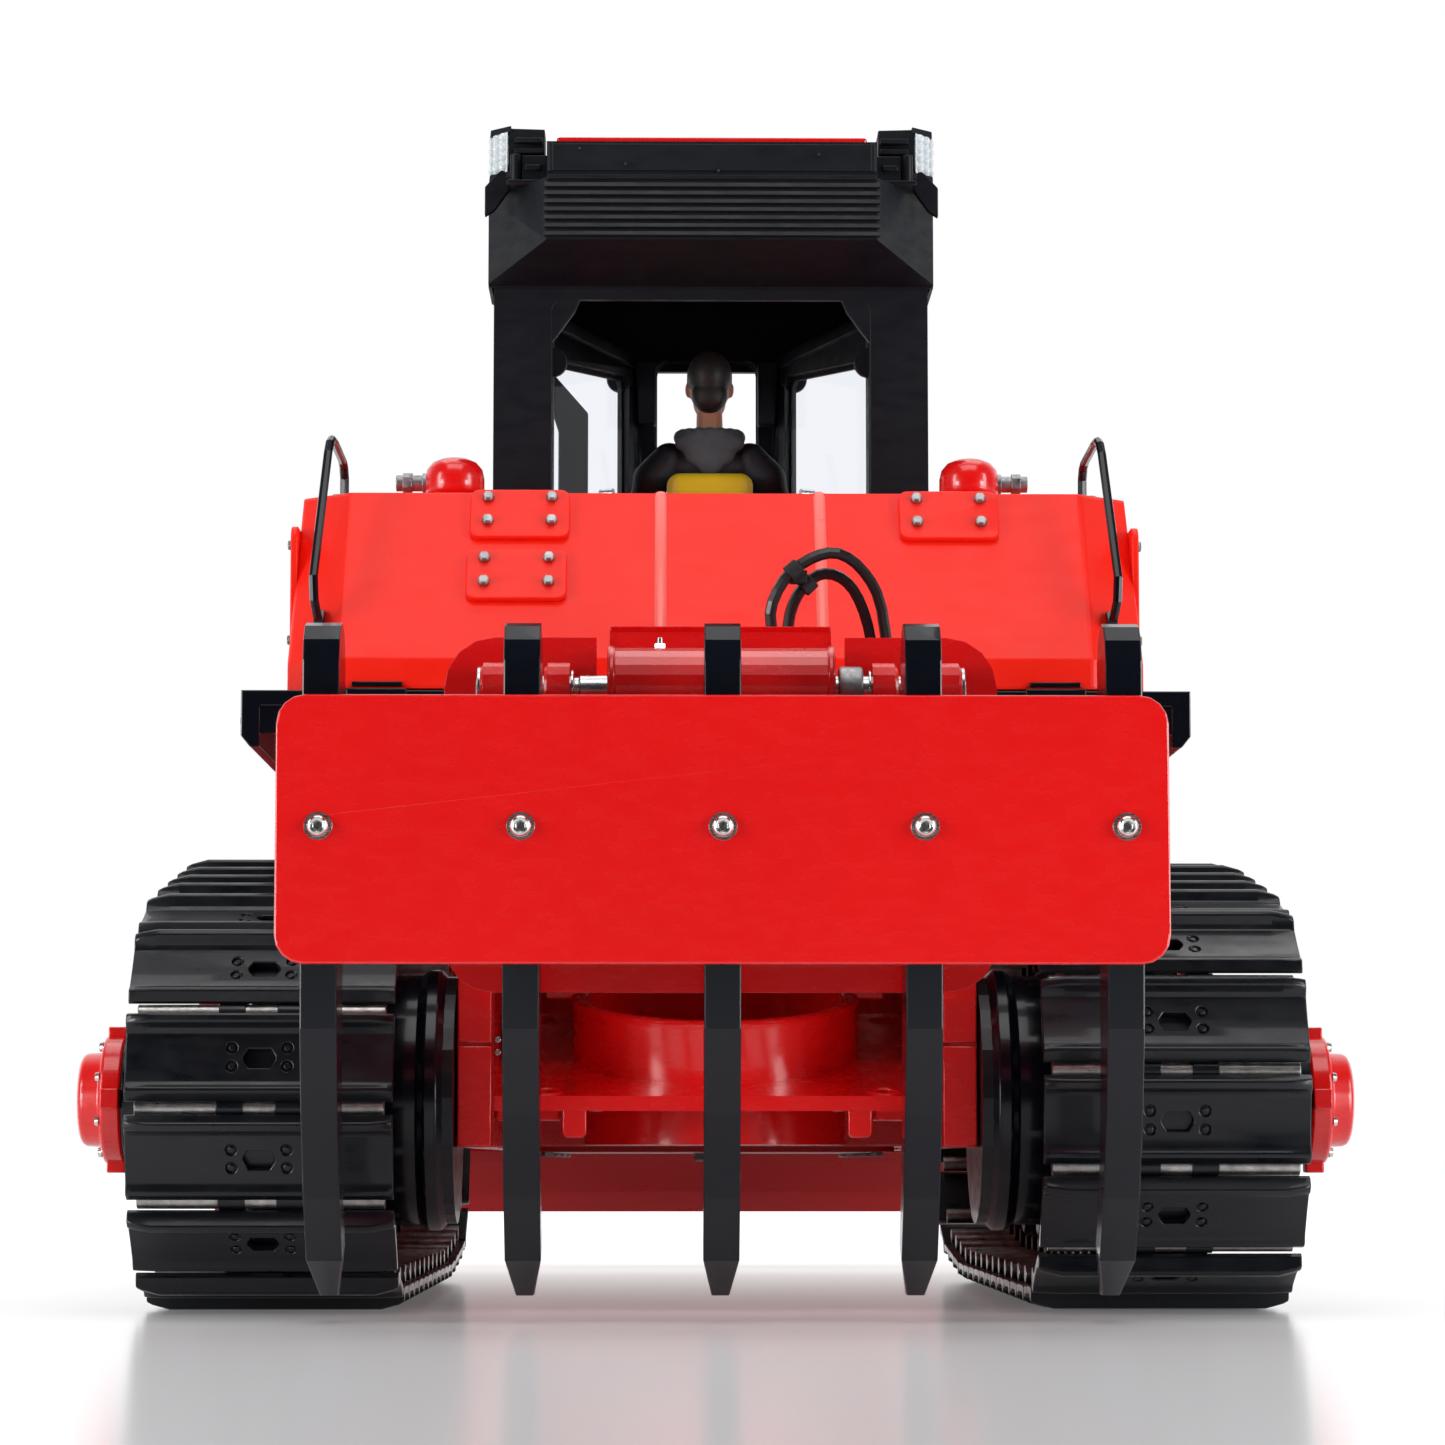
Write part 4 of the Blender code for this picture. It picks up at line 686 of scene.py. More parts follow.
for side, sign in SIDE:
    body = "sprocket_" + side
    # black toothed ring bolted over the red hub
    ring = bmesh.new()
    first = -90.0 + math.degrees(PHASE[side] / PIN_CIRCLE) + 15.0
    outline = []
    for tooth in range(TEETH):
        at = first + tooth * 30.0
        for turn, radius in (
            (-10.4, 27.1), (-8.6, 27.9), (-4.6, 31.2), (-3.4, 31.9), (3.4, 31.9), (4.6, 31.2),
            (8.6, 27.9), (10.4, 27.1)
        ):
            angle = math.radians(at + turn)
            outline.append(on_circle(SPROCKET, radius, angle))
    add_prism(ring, outline, "X", *across(sign, 90.0, 95.8))
    add_turned(
        ring, [(95.0, 0), (98.2, 0.1), (98.2, 21.0), (97.2, 23.0), (95.0, 23.0), (95.0, 0)],
        (0, *SPROCKET), (sign, 0, 0), 48
    )
    add_turned(
        ring,
        [(124.2, 12.3), (96.0, 12.3), (96.0, 16.5), (110.0, 15.2), (124.2, 13.6), (124.2, 12.3)],
        (0, *SPROCKET), (sign, 0, 0), 40
    )
    add_turned(
        ring, [(84.5, 23.4), (92.0, 23.4), (92.0, 12.0), (84.5, 12.0), (84.5, 23.4)],
        (0, *SPROCKET), (sign, 0, 0), 48
    )
    piece(ring, "sprocket_ring_" + side, BLACK, body, 0.4)
    bolts = bmesh.new()
    for index in range(12):
        angle = math.tau * (index + 0.5) / 12
        spot = (sign * 98.0, *on_circle(SPROCKET, 18.6, angle))
        add_bolt(bolts, spot, (sign, 0, 0), 1.3, 1.3)
    piece(bolts, "sprocket_bolts_" + side, BOLT, body, 0.1)
    # red hub cap: rounded drum with tabs, small screws and a centre plug
    cap = bmesh.new()
    add_turned(
        cap,
        [
            (124.1, 0), (124.1, 13.0), (124.5, 13.5), (128.2, 13.5), (128.7, 13.0), (128.7, 10.9),
            (129.0, 10.2), (129.6, 9.9), (132.4, 9.75), (133.3, 9.3), (133.8, 8.3), (133.9, 7.0),
            (133.4, 6.6), (133.4, 3.0), (133.9, 2.6), (133.9, 0)
        ],
        (0, *SPROCKET), (sign, 0, 0), 48
    )
    for angle in (90, 270, 0, 180):
        turn = Matrix.Rotation(math.radians(angle), 4, "X")
        low, high = across(sign, 124.3, 128.2)
        add_box(
            cap, (low, SPROCKET.x - 2.1, SPROCKET.y + 11.5),
            (high, SPROCKET.x + 2.1, SPROCKET.y + 15.3), turn, (0, *SPROCKET)
        )
    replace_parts(piece(cap, "hub_cap_" + side, RED, body, 0.3), body)
    screws = bmesh.new()
    for index in range(8):
        angle = math.radians(22.5 + 45 * index)
        spot = (sign * 128.8, *on_circle(SPROCKET, 11.9, angle))
        add_rod(screws, spot, (spot[0] + sign * 0.9, spot[1], spot[2]), 1.15, 0.9, 14)
    piece(screws, "hub_screws_" + side, ZINC, body, 0.1)

    # idler, carrier and rollers
    body = "idler_" + side
    idler = bmesh.new()
    centre = (0, IDLER_Y, IDLER_Z)
    add_turned(
        idler, [(101.9, 21.0), (102.3, 21.5), (102.3, 24.4), (101.6, 25.4), (101.6, 21.0)], centre,
        (sign, 0, 0), 48
    )
    add_turned(idler, [(102.1, 3.8), (104.6, 7.2), (104.6, 3.8)], centre, (sign, 0, 0), 32)
    for index in range(6):
        angle = math.tau * index / 6
        add_rod(
            idler, (sign * 101.8, *on_circle((IDLER_Y, IDLER_Z), 14, angle)),
            (sign * 102.5, *on_circle((IDLER_Y, IDLER_Z), 14, angle)), 3.6, 3.2, 20
        )
    piece(idler, "idler_face_" + side, BLACK, body, 0.2)
    carrier = bmesh.new()
    add_turned(
        carrier, [(102.0, 0), (103.0, 0.1), (103.0, 3.6), (102.0, 4.6), (102.0, 0)], (0, *CARRIER),
        (sign, 0, 0), 28
    )
    add_bolt(carrier, (sign * 102.8, *CARRIER), (sign, 0, 0), 1.5, 1.2)
    piece(carrier, "carrier_cap_" + side, STEEL, "carrier_" + side, 0.1)

    body = "tractor"
    rollers, caps = new_shapes(2)
    for y in (-104.0, -62.0, -20.0, 22.0, 64.0):
        for low, high in ((82.6, 84.2), (88.6, 90.4), (95.4, 97.2), (101.6, 103.2)):
            add_rod(
                rollers, (sign * low, y, ROLLER_Z), (sign * high, y, ROLLER_Z),
                6.3 if low in (82.6, 101.6) else 5.6, sides=28
            )
        add_rod(caps, (sign * 103.0, y, ROLLER_Z), (sign * 104.4, y, ROLLER_Z), 3.3, sides=24)
        add_bolt(caps, (sign * 104.2, y, ROLLER_Z), (sign, 0, 0), 1.4, 1.1)
        add_side_box(rollers, sign, (103.4, y - 4.4, 17.5), (106.0, y + 4.4, 24.0))
    piece(rollers, "rollers_" + side, FRAME_BLACK, body, 0.3)
    piece(caps, "roller_caps_" + side, BOLT, body, 0.1)
    guard, bolts = new_shapes(2)
    add_prism(guard, rounded((-96, 25.5), (78, 30.5), 2.0, 3), "X", *across(sign, 105.8, 107.6))
    add_prism(
        guard, rounded((60, 37.5), (IDLER_Y + 8, 51.5), 5.0, 4), "X", *across(sign, 106.0, 107.4)
    )
    for index in range(8):
        add_bolt(bolts, (sign * 107.5, -90 + index * 23.0, 28.0), (sign, 0, 0), 1.25, 1.1)
    for y in (66, 84, 100):
        for z in (40.5, 48.5):
            add_bolt(bolts, (sign * 107.3, y, z), (sign, 0, 0), 1.25, 1.1)
    for y in range(-96, 60, 26):
        add_box(guard, (sign * 93 - 12.6, y, 55.6), (sign * 93 + 12.6, y + 3.0, 57.0))
    add_rod(guard, (sign * 106.0, *PUSH_PIVOT), (sign * 110.0, *PUSH_PIVOT), 10.5, 8.5, 32)
    add_rod(guard, (sign * 131.2, *PUSH_PIVOT), (sign * 133.4, *PUSH_PIVOT), 6.4, 5.8, 28)
    piece(guard, "track_frame_trim_" + side, FRAME_BLACK, body, 0.3)
    add_bolt(bolts, (sign * 133.3, *PUSH_PIVOT), (sign, 0, 0), 2.4, 1.8)
    piece(bolts, "track_frame_bolts_" + side, BOLT, body, 0.12)
    # grease tensioner on the fork
    spring = bmesh.new()
    add_rod(spring, (sign * 93, 66, 46), (sign * 93, 90, 45), 6.5, sides=28)
    add_rod(spring, (sign * 93, 84, 45.2), (sign * 93, 92, 44.8), 3.6, sides=24)
    piece(spring, "tensioner_" + side, STEEL, body, 0.3)
    # final drive case between the frame and the track
    case, bolts = new_shapes(2)
    add_turned(
        case,
        [
            (54.8, 24.0), (58.0, 27.4), (60.5, 27.4), (62.0, 26.2), (80.5, 26.2), (83.0, 25.6),
            (84.2, 24.4), (84.2, 13.0), (55.0, 13.0)
        ],
        (0, *SPROCKET), (sign, 0, 0), 56
    )
    piece(case, "final_drive_" + side, BLACK, body, 0.3)
    for index in range(14):
        angle = math.tau * index / 14
        add_bolt(bolts, (sign * 60.3, *on_circle(SPROCKET, 24.9, angle)), (sign, 0, 0), 1.1, 1.2)
    piece(bolts, "final_drive_bolts_" + side, BOLT, body, 0.1)


# ---------------------------------------------------------------- rear of the main frame

frame_trim, frame_bolts, frame_dark, bright = new_shapes(4)
for sign in (-1, 1):
    # rear post cover plates with the seam between the upper and the lower one
    add_side_box(frame_trim, sign, (46.9, -165.2, 55.6), (53.9, -163.7, 116.6))
    add_side_box(frame_trim, sign, (46.9, -165.2, 34.2), (53.9, -163.7, 54.9))
    add_side_box(frame_dark, sign, (46.4, -164.4, 34.4), (48.3, -163.4, 116.0))
    for z in (53.6, 56.2):
        spot = Vector((sign * 45.6, -163.6, z))
        add_rod(bright, spot, spot + Vector((0, -1.6, 0)), 0.75, 0.6, 12)
    # small tabs under the belly plate's rear edge, with a bolt head beside each
    low, high = across(sign, 27.2, 32.2)
    tab = [
        (low, 36.8), (low + 0.8, 36.0), (high - 0.8, 36.0), (high, 36.8), (high, 44.6), (low, 44.6)
    ]
    add_prism(frame_trim, tab, "Y", -163.2, -159.0)
    add_bolt(frame_bolts, (sign * 25.2, -161.4, 42.6), (0, 0, -1), 1.5, 1.2)
    # flange ears behind the cup's rim
    ear = [
        (sign * 29.0, -122.0), (sign * 36.9, -118.0), (sign * 36.0, -110.0), (sign * 26.0, -104.0)
    ]
    add_prism(frame_trim, ear if sign > 0 else ear[::-1], "Z", 66.4, 68.0)
    add_side_box(frame_trim, sign, (33.0, -158.0, 39.6), (46.0, -146.0, 43.0))
# the cup's rounded lip, at the height of its CAD ring
lean = math.atan2(20.2, 89.5)
normal = Vector((0.0, -math.sin(lean), math.cos(lean)))
middle = Vector((0.0, -121.5, 54.1))
lip = bmesh.new()
add_turned(
    lip,
    [
        (12.5, 27.8), (13.0, 28.1), (13.3, 28.9), (13.3, 29.9), (13.0, 30.8), (12.4, 31.3),
        (11.6, 31.2), (11.6, 29.0)
    ],
    middle, normal, 72
)
add_turned(
    lip, [(0.3, 0.0), (0.3, 9.0), (1.4, 9.6), (1.4, 13.0), (0.3, 13.6), (0.3, 0.0)], middle, normal,
    48
)
piece(lip, "belly_cup_lip", RED, "tractor", 0.0)
for x, along in ((-35.4, -39), (34.8, -39), (-38.7, 40), (38.7, 40)):
    spot = middle + Vector((x, along * math.cos(lean), along * math.sin(lean)))
    add_turned(frame_trim, [(-0.2, 2.4), (0.35, 2.5), (0.35, 3.2), (-0.2, 3.6)], spot, normal, 20)
piece(frame_trim, "frame_trim", RED, "tractor", 0.3)
piece(frame_dark, "frame_seams", RED_SHADE_AND_SEAMS, "tractor", 0.0)
piece(frame_bolts, "belly_bolts", BOLT, "tractor", 0.1)
piece(bright, "frame_screws", ZINC, "tractor", 0.08)

# side plates of the frame: bolted covers along each side above the track
covers, bolts = new_shapes(2)
for sign in (-1, 1):
    for y in (-96, -36, 24):
        add_prism(covers, rounded((y, 90), (y + 52, 114), 3.0, 4), "X", *across(sign, 53.8, 55.3))
        for dy in (5, 26, 47):
            for z in (94, 110):
                add_bolt(bolts, (sign * 55.2, y + dy, z), (sign, 0, 0), 1.2, 1.0)
    add_prism(covers, rounded((86, 56), (150, 108), 4.0, 4), "X", *across(sign, 53.8, 55.3))
    for y in (92, 118, 144):
        for z in (62, 102):
            add_bolt(bolts, (sign * 55.2, y, z), (sign, 0, 0), 1.4, 1.1)
piece(covers, "frame_side_covers", RED, "tractor", 0.3)
piece(bolts, "frame_side_bolts", BOLT, "tractor", 0.1)

# belly pan: bolted plates and a drain plug under the machine
pan, bolts = new_shapes(2)
for y0, y1 in ((-70, -8), (-2, 60), (66, 122)):
    add_prism(pan, rounded((-42, y0), (42, y1), 4.0, 4), "Z", 33.2, 34.8)
    for x in (-38, 38):
        for y in (y0 + 5, y1 - 5):
            add_bolt(bolts, (x, y, 33.4), (0, 0, -1), 1.5, 1.2)
add_bolt(bolts, (0, 30, 33.4), (0, 0, -1), 3.6, 2.2, 5.0)
# the belly plates get the darker red: painted shade under the machine
piece(pan, "belly_plates", RED_SHADE_AND_SEAMS, "tractor", 0.3)
piece(bolts, "belly_plate_bolts", BOLT, "tractor", 0.1)


# ---------------------------------------------------------------- rear housing

HOUSING_TOP = 178.0
run, rise = 26.0, 40.0
up_slope = Vector((0.0, run, rise)).normalized()
out_slope = Vector((0.0, -rise, run)).normalized()
foot = Vector((0.0, -147.0, 138.0))
slope_length = math.hypot(run, rise)


def on_slope(x, along, out=0.0):
    """A point on the housing's sloping back, at a distance up it from the bend."""
    return foot + up_slope * along + out_slope * out + Vector((x, 0, 0))


# two folded ribs that stand out of the back and run over the bend and the top edge; their pale pink
# red is a painted highlight
ribs = bmesh.new()
for x0, x1 in ((-13.4, -10.6), (21.6, 24.4)):
    rows = []
    path = [
        (Vector((0, -147.0, 132.2)), Vector((0, -1, 0))),
        (Vector((0, -147.0, 137.6)), Vector((0, -0.93, 0.30))), (on_slope(0, 1.2), out_slope),
        (on_slope(0, slope_length - 1.0), out_slope),
        (Vector((0, -120.4, HOUSING_TOP)), Vector((0, -0.35, 0.92))),
        (Vector((0, -42.0, HOUSING_TOP)), Vector((0, 0, 1)))
    ]
    for place, out in path:
        row = []
        for x, height in (
            (x0, 0.0), (x0 + 0.9, 0.5), (x1 - 0.9, 0.5), (x1, 0.0), (x1, -0.6), (x0, -0.6)
        ):
            row.append(ribs.verts.new(place + out * height + Vector((x, 0, 0))))
        rows.append(row)
    bridge(ribs, rows, ends=True)
piece(ribs, "housing_ribs", RIB_HIGHLIGHT_RED, "tractor", 0.3, 3)

bolts = bmesh.new()
for x, z in ((-42.9, 171.3), (-43.3, 156.5), (51.3, 171.1)):
    along = (z - 138.0) / rise * slope_length + 1.5
    for dx in (-7.0, 7.0):
        for ds in (-3.4, 3.4):
            add_bolt(bolts, on_slope(x + dx, along + ds, 1.4), out_slope, 1.35, 1.5, 0.0, 0.5)
piece(bolts, "cover_bolts", BOLT, "tractor", 0.12)

# flanges and seams on the rest of the housing
trim, dark, bolts = new_shapes(3)
for sign in (-1, 1):
    add_prism(trim, rounded((-126, 141), (-88, 170), 3.0, 4), "X", *across(sign, 91.6, 93.1))
    for y in (-122, -92):
        for z in (145, 166):
            add_bolt(bolts, (sign * 93.0, y, z), (sign, 0, 0), 1.2, 1.0)
    for row in range(5):
        z = 146 + 5 * row
        add_side_box(dark, sign, (91.5, -80, z), (92.9, -50, z + 2.2))
    for row in range(6):
        z = 145.3 + 5 * row - 1.2
        add_side_box(trim, sign, (91.8, -81, z), (93.5, -49, z + 1.6))
    # a thin black strip under the bend, either side
    add_side_box(dark, sign, (67.0, -147.6, 131.9), (78.0, -145.0, 133.0))
    # screws on the top
    for y in (-112, -52):
        add_bolt(bolts, (sign * 84, y, 177.9), (0, 0, 1), 1.3, 1.0)
    for x in (30, 46):
        add_bolt(bolts, (sign * x, -52, 177.9), (0, 0, 1), 1.2, 0.9)
    # handrail feet
    add_prism(
        dark, [(-136.6, 142.6), (-139.4, 143.2), (-141.6, 147.0), (-138.4, 149.6), (-135.0, 149.4)],
        "X", *across(sign, 84.5, 86.7)
    )
    add_rod(dark, (sign * 83.6, -97, 177.8), (sign * 83.6, -97, 179.2), 2.5, 2.0, 20)
piece(trim, "housing_trim", RED_LIT_HOUSING, "tractor", 0.3)
piece(dark, "housing_dark_trim", BLACK, "tractor", 0.2)
piece(bolts, "housing_bolts", BOLT, "tractor", 0.1)

# filler caps: finer domes with a grip, a collar and grey vent pipes
for side, sign in SIDE:
    caps, pipe = new_shapes(2)
    spot = (sign * 60.5, -61, HOUSING_TOP)
    add_turned(
        caps,
        [
            (0.3, 0), (0.3, 6.3), (1.0, 6.6), (1.6, 6.3), (1.8, 4.7), (7.8, 4.7), (8.6, 5.4),
            (9.0, 6.7), (9.6, 7.0), (12.6, 7.0), (14.8, 6.5), (16.4, 5.2), (17.3, 3.2), (17.6, 0)
        ],
        spot, (0, 0, 1), 48
    )
    cap = piece(caps, "filler_dome_" + side, RED, "tractor", 0.2)
    add_rod(pipe, (sign * 65, -61, 189.6), (sign * 74.2, -61, 189.6), 1.9, sides=28)
    add_rod(pipe, (sign * 70.4, -61, 189.6), (sign * 72.6, -61, 189.6), 2.5, sides=6)
    add_rod(pipe, (sign * 66.8, -61, 189.6), (sign * 68.0, -61, 189.6), 2.4, sides=24)
    piece(pipe, "filler_pipe_" + side, CAST, "tractor", 0.15)
    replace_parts(cap, "filler_cap_" + side)

# fenders: bolts, tread strips and rear ends
strips, bolts = new_shapes(2)
for sign in (-1, 1):
    for index in range(15):
        y = -34 + 6 * index
        add_side_box(strips, sign, (64, y, 131.0), (97, y + 1.6, 131.9))
    for y in range(-140, 58, 22):
        add_bolt(bolts, (sign * 101.3, y, 125.2), (sign, 0, 0), 1.1, 0.9)
piece(strips, "fender_tread", BLACK, "tractor", 0.2)
piece(bolts, "fender_bolts", BOLT, "tractor", 0.1)
edge = bmesh.new()
for sign in (-1, 1):
    low, high = across(sign, 66.0, 79.0)
    add_box(edge, (low, -149.0, 129.2), (high, -146.8, 131.4))
piece(edge, "fender_ends", BLACK, "tractor", 0.3)


# ---------------------------------------------------------------- cab

# louvre ribs across the rear overhang
ribs = bmesh.new()
for row in range(7):
    z = 248.8 + 1.95 * row
    section = [(-61.0, z - 0.1), (-62.05, z + 0.15), (-61.55, z + 1.35), (-61.0, z + 1.45)]
    bridge(
        ribs, [[ribs.verts.new((x, *spot)) for spot in section] for x in (-39.9, 39.9)], ends=True
    )
piece(ribs, "visor_louvres", CAB_RIB, "tractor", 0.15)

# ledge between the louvred skirt and the upper box, with small bright screws
ledge, bright = new_shapes(2)
add_box(ledge, (-38.4, -61.4, 264.6), (38.4, -60.4, 271.2))
add_box(ledge, (-39.0, -61.8, 262.5), (39.0, -60.2, 263.7))
for sign in (-1, 1):
    add_rod(ledge, (sign * 38.2, -60.8, 264.4), (sign * 38.2, -60.8, 271.4), 0.9, sides=16)
for x, z in ((-31.5, 269.9), (-20.5, 266.2), (25.3, 268.6), (1.5, 264.6)):
    add_rod(bright, (x, -61.2, z), (x, -61.8, z), 0.4, 0.3, 10)
piece(ledge, "visor_back_panel", CAB, "tractor", 0.3)
piece(bright, "visor_screws", ZINC, "tractor", 0.0)

# roof hatch and bolts
hatch = bmesh.new()
add_prism(hatch, rounded((-18, -36), (18, 4), 4.0, 5), "Z", 273.8, 275.2)
piece(hatch, "roof_hatch", RED, "tractor", 0.4)
bolts = bmesh.new()
for x, y in (
    (-33, -50), (33, -50), (-33, -34), (33, -34), (-13, 60), (13, 60), (-26, 20), (26, 20)
):
    add_bolt(bolts, (x, y, 273.9), (0, 0, 1), 1.2, 0.8)
piece(bolts, "roof_bolts", BOLT, "tractor", 0.1)

# work lights: a finned body, a faceted lens that faces out and back, and a stepped bracket
for side, sign in SIDE:
    body, lens, yoke = new_shapes(3)
    plan = [(sign * 40.0, -49.6), (sign * 48.7, -50.6), (sign * 48.7, -38.4), (sign * 40.0, -38.4)]
    add_prism(body, plan, "Z", 264.0, 277.4)
    for low, high, out in ((265.2, 266.9, 0.5), (276.4, 277.9, 0.3)):
        hood = [
            (sign * 48.0, -51.4), (sign * (52.8 + out), -46.6), (sign * (53.4 + out), -38.0),
            (sign * 48.0, -38.0)
        ]
        add_prism(body, hood, "Z", low, high)
    for row in range(2):
        bottom = 273.6 - 2.6 * row
        add_side_box(body, sign, (40.4, -52.0, bottom), (47.2, -49.0, bottom + 1.3))
    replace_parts(piece(body, "lamp_body_" + side, CAB, "tractor", 0.25), "work_light_" + side)
    plan = [(sign * 48.9, -51.0), (sign * 52.5, -46.4), (sign * 53.1, -38.4), (sign * 48.9, -38.4)]
    add_prism(lens, plan, "Z", 266.8, 276.5)
    along = Vector((sign * (52.5 - 48.9), 4.6, 0)).normalized()
    for row in range(4):
        for column in range(2):
            spot = Vector((sign * 49.9, -49.9, 268.1 + 2.4 * row)) + along * (2.6 * column)
            add_ball(lens, spot, (1.2, 0.9, 1.1), 12)
    for row in range(4):
        for column in range(3):
            add_ball(
                lens, (sign * 53.0, -45.0 + 2.6 * column, 268.1 + 2.4 * row), (0.7, 1.2, 1.1), 12
            )
    piece(lens, "lamp_lens_" + side, LENS, "tractor", 0.15)
    wing = [
        (48.4, 269.0), (51.4, 266.4), (54.3, 263.2), (54.3, 256.2), (52.0, 257.6), (48.4, 262.6)
    ]
    add_prism(yoke, [(sign * x, z) for x, z in wing], "Y", -50.2, -47.6)
    add_rod(yoke, (sign * 46.8, -52.2, 262.8), (sign * 46.8, -52.2, 270.6), 1.4, sides=20)
    add_side_box(yoke, sign, (39.4, -52.6, 263.2), (45.4, -49.4, 270.4))
    add_side_box(yoke, sign, (40.8, -53.4, 266.6), (44.6, -52.2, 268.0))
    add_side_box(yoke, sign, (39.6, -54.0, 262.9), (49.0, -44.0, 264.2))
    piece(yoke, "lamp_bracket_" + side, CAB_RIB, "tractor", 0.25)

# doors: their plane, window seals, panes, pressings and handles
DOOR_RUN = Vector((19.5 - 52.6, 74.0 + 16.0)).normalized()
DOOR_OUT = Vector((DOOR_RUN.y, -DOOR_RUN.x))


def door_point(distance, height, out, sign):
    place = Vector((52.6, -16.0)) + DOOR_RUN * distance + DOOR_OUT * out
    return Vector((sign * place.x, place.y, height))


def add_door_frame(shape, outer, inner, low, high, sign):
    """A ring between two outlines on the slanted door, from low to high outside the wall."""
    rings = []
    for outline, out in ((outer, low), (outer, high), (inner, high), (inner, low)):
        rings.append([shape.verts.new(door_point(s, z, out, sign)) for s, z in outline])
    bridge(shape, rings + rings[:1])


WINDOW_OUTER = [
    (16.4, 166.9), (85.2, 166.9), (87.1, 169.4), (87.1, 236.6), (84.6, 239.5), (18.0, 233.1),
    (14.4, 229.6), (14.4, 169.2)
]
WINDOW_INNER = [
    (18.0, 169.2), (83.6, 169.2), (84.9, 170.8), (84.9, 235.2), (83.4, 237.0), (19.2, 230.8),
    (16.6, 228.4), (16.6, 170.6)
]
for side, sign in SIDE:
    body = "door_" + side
    seal, pane, parts, grips = new_shapes(4)
    add_door_frame(seal, WINDOW_OUTER, WINDOW_INNER, -0.6, 0.7, sign)
    piece(seal, "door_seal_" + side, RUBBER, body, 0.2)
    faces = [
        [
            pane.verts.new(door_point(s, z, out, sign)) for s, z in WINDOW_OUTER
        ] for out in (-1.5, -0.9)
    ]
    bridge(pane, faces, ends=True)
    piece(pane, "door_glass_" + side, GLASS, body)
    # pressed lower panel, handle, lock and hinge pins
    add_door_frame(
        parts, rounded((16, 146), (86, 163), 3, 4), rounded((18, 148), (84, 161), 2, 4), -0.5, 0.8,
        sign
    )
    start, end = door_point(78, 176, 2.6, sign), door_point(78, 206, 2.6, sign)
    add_rod(grips, start, end, 1.1, sides=16)
    for height in (176, 206):
        add_rod(
            grips, door_point(78, height, -1, sign), door_point(78, height, 2.8, sign), 1.3,
            sides=16
        )
    add_rod(grips, door_point(80, 158, -0.5, sign), door_point(80, 158, 1.4, sign), 2.2, sides=20)
    for height in (149.5, 224.5):
        add_rod(
            parts, door_point(7.8, height, 1.3, sign), door_point(7.8, height + 9, 1.3, sign), 1.5,
            sides=16
        )
    piece(parts, "door_pressing_" + side, CAB, body, 0.2)
    piece(grips, "door_handle_" + side, STEEL, body, 0.1)

    inner = bmesh.new()
    # rear post's inner channel and the rounded window gusset seen from behind
    add_side_box(inner, sign, (45.8, -32.4, 134.5), (50.0, -25.0, 238.5))
    add_side_box(inner, sign, (38.3, -33.0, 176.5), (41.0, -18.0, 237.0))
    add_prism(
        inner,
        [
            (sign * 39.0, 228.0), (sign * 39.0, 243.0), (sign * 30.0, 243.0), (sign * 33.0, 236.0),
            (sign * 36.6, 231.0)
        ],
        "Y", -34.9, -32.6
    )
    add_prism(
        inner, [(sign * 13.6, 226), (sign * 13.6, 243), (sign * 19.0, 243), (sign * 18.2, 226)],
        "Y", 66.0, 70.8
    )
    # dark lobes at the upper corners of the side window
    for x, y, z in ((38.4, -31.0, 224.5), (23.2, 64.0, 238.0)):
        add_rod(inner, (sign * x, y, z), (sign * x, y + 2.4, z), 3.6, sides=24)
    piece(inner, "cab_posts_inner_" + side, CAB, "tractor", 0.3)
    clips = bmesh.new()
    for z in (222.0, 196.0):
        add_rod(clips, (sign * 41.2, -33.2, z), (sign * 41.2, -34.2, z), 0.5, 0.4, 10)
    piece(clips, "cab_post_screws_" + side, ZINC, "tractor")

# a near-black sheet under the roof, painted shade for the dark cab ceiling, and the front window
# rim
ceiling_sheet = bmesh.new()
add_prism(
    ceiling_sheet, [(-46, -32), (46, -32), (46, -16), (16, 66), (-16, 66), (-46, -16)], "Z", 243.0, 244.4
)
piece(ceiling_sheet, "cab_ceiling_shade", CEILING_SHADE, "tractor", 0.3)
rim = bmesh.new()
outer = rounded((-15.6, 158.5), (15.6, 246.2), 5, 5)
inner_ring = rounded((-13.2, 161.0), (13.2, 243.9), 3.6, 5)
rings = []
for outline, y in ((outer, 74.9), (outer, 73.5), (inner_ring, 73.5), (inner_ring, 74.9)):
    rings.append([rim.verts.new((x, y, z)) for x, z in outline])
bridge(rim, rings + rings[:1])
piece(rim, "front_window_seal", RUBBER, "tractor", 0.2)
wiper = bmesh.new()
add_rod(wiper, (8, 75.6, 163), (-6, 75.8, 205), 0.6, sides=12)
add_rod(wiper, (-9.5, 75.8, 196), (-3.4, 75.8, 222), 0.7, sides=12)
add_rod(wiper, (8, 73.5, 163), (8, 76.4, 163), 1.6, sides=16)
piece(wiper, "front_wiper", CAB, "tractor", 0.1)

# a dark guard plate ahead of the cab's left side, seen through the left window
guard = bmesh.new()
outline = [
    (-41.6, 243.0), (-32.0, 232.0), (-32.0, 150.0), (-40.0, 150.0), (-40.0, 227.0), (-41.6, 232.0)
]
add_prism(guard, outline, "Y", 83.0, 85.4)
for z in (160.0, 190.0):
    add_box(guard, (-34.0, 76.0, z), (-22.0, 84.0, z + 4.0))
piece(guard, "cab_front_guard", CAB, "tractor", 0.4)

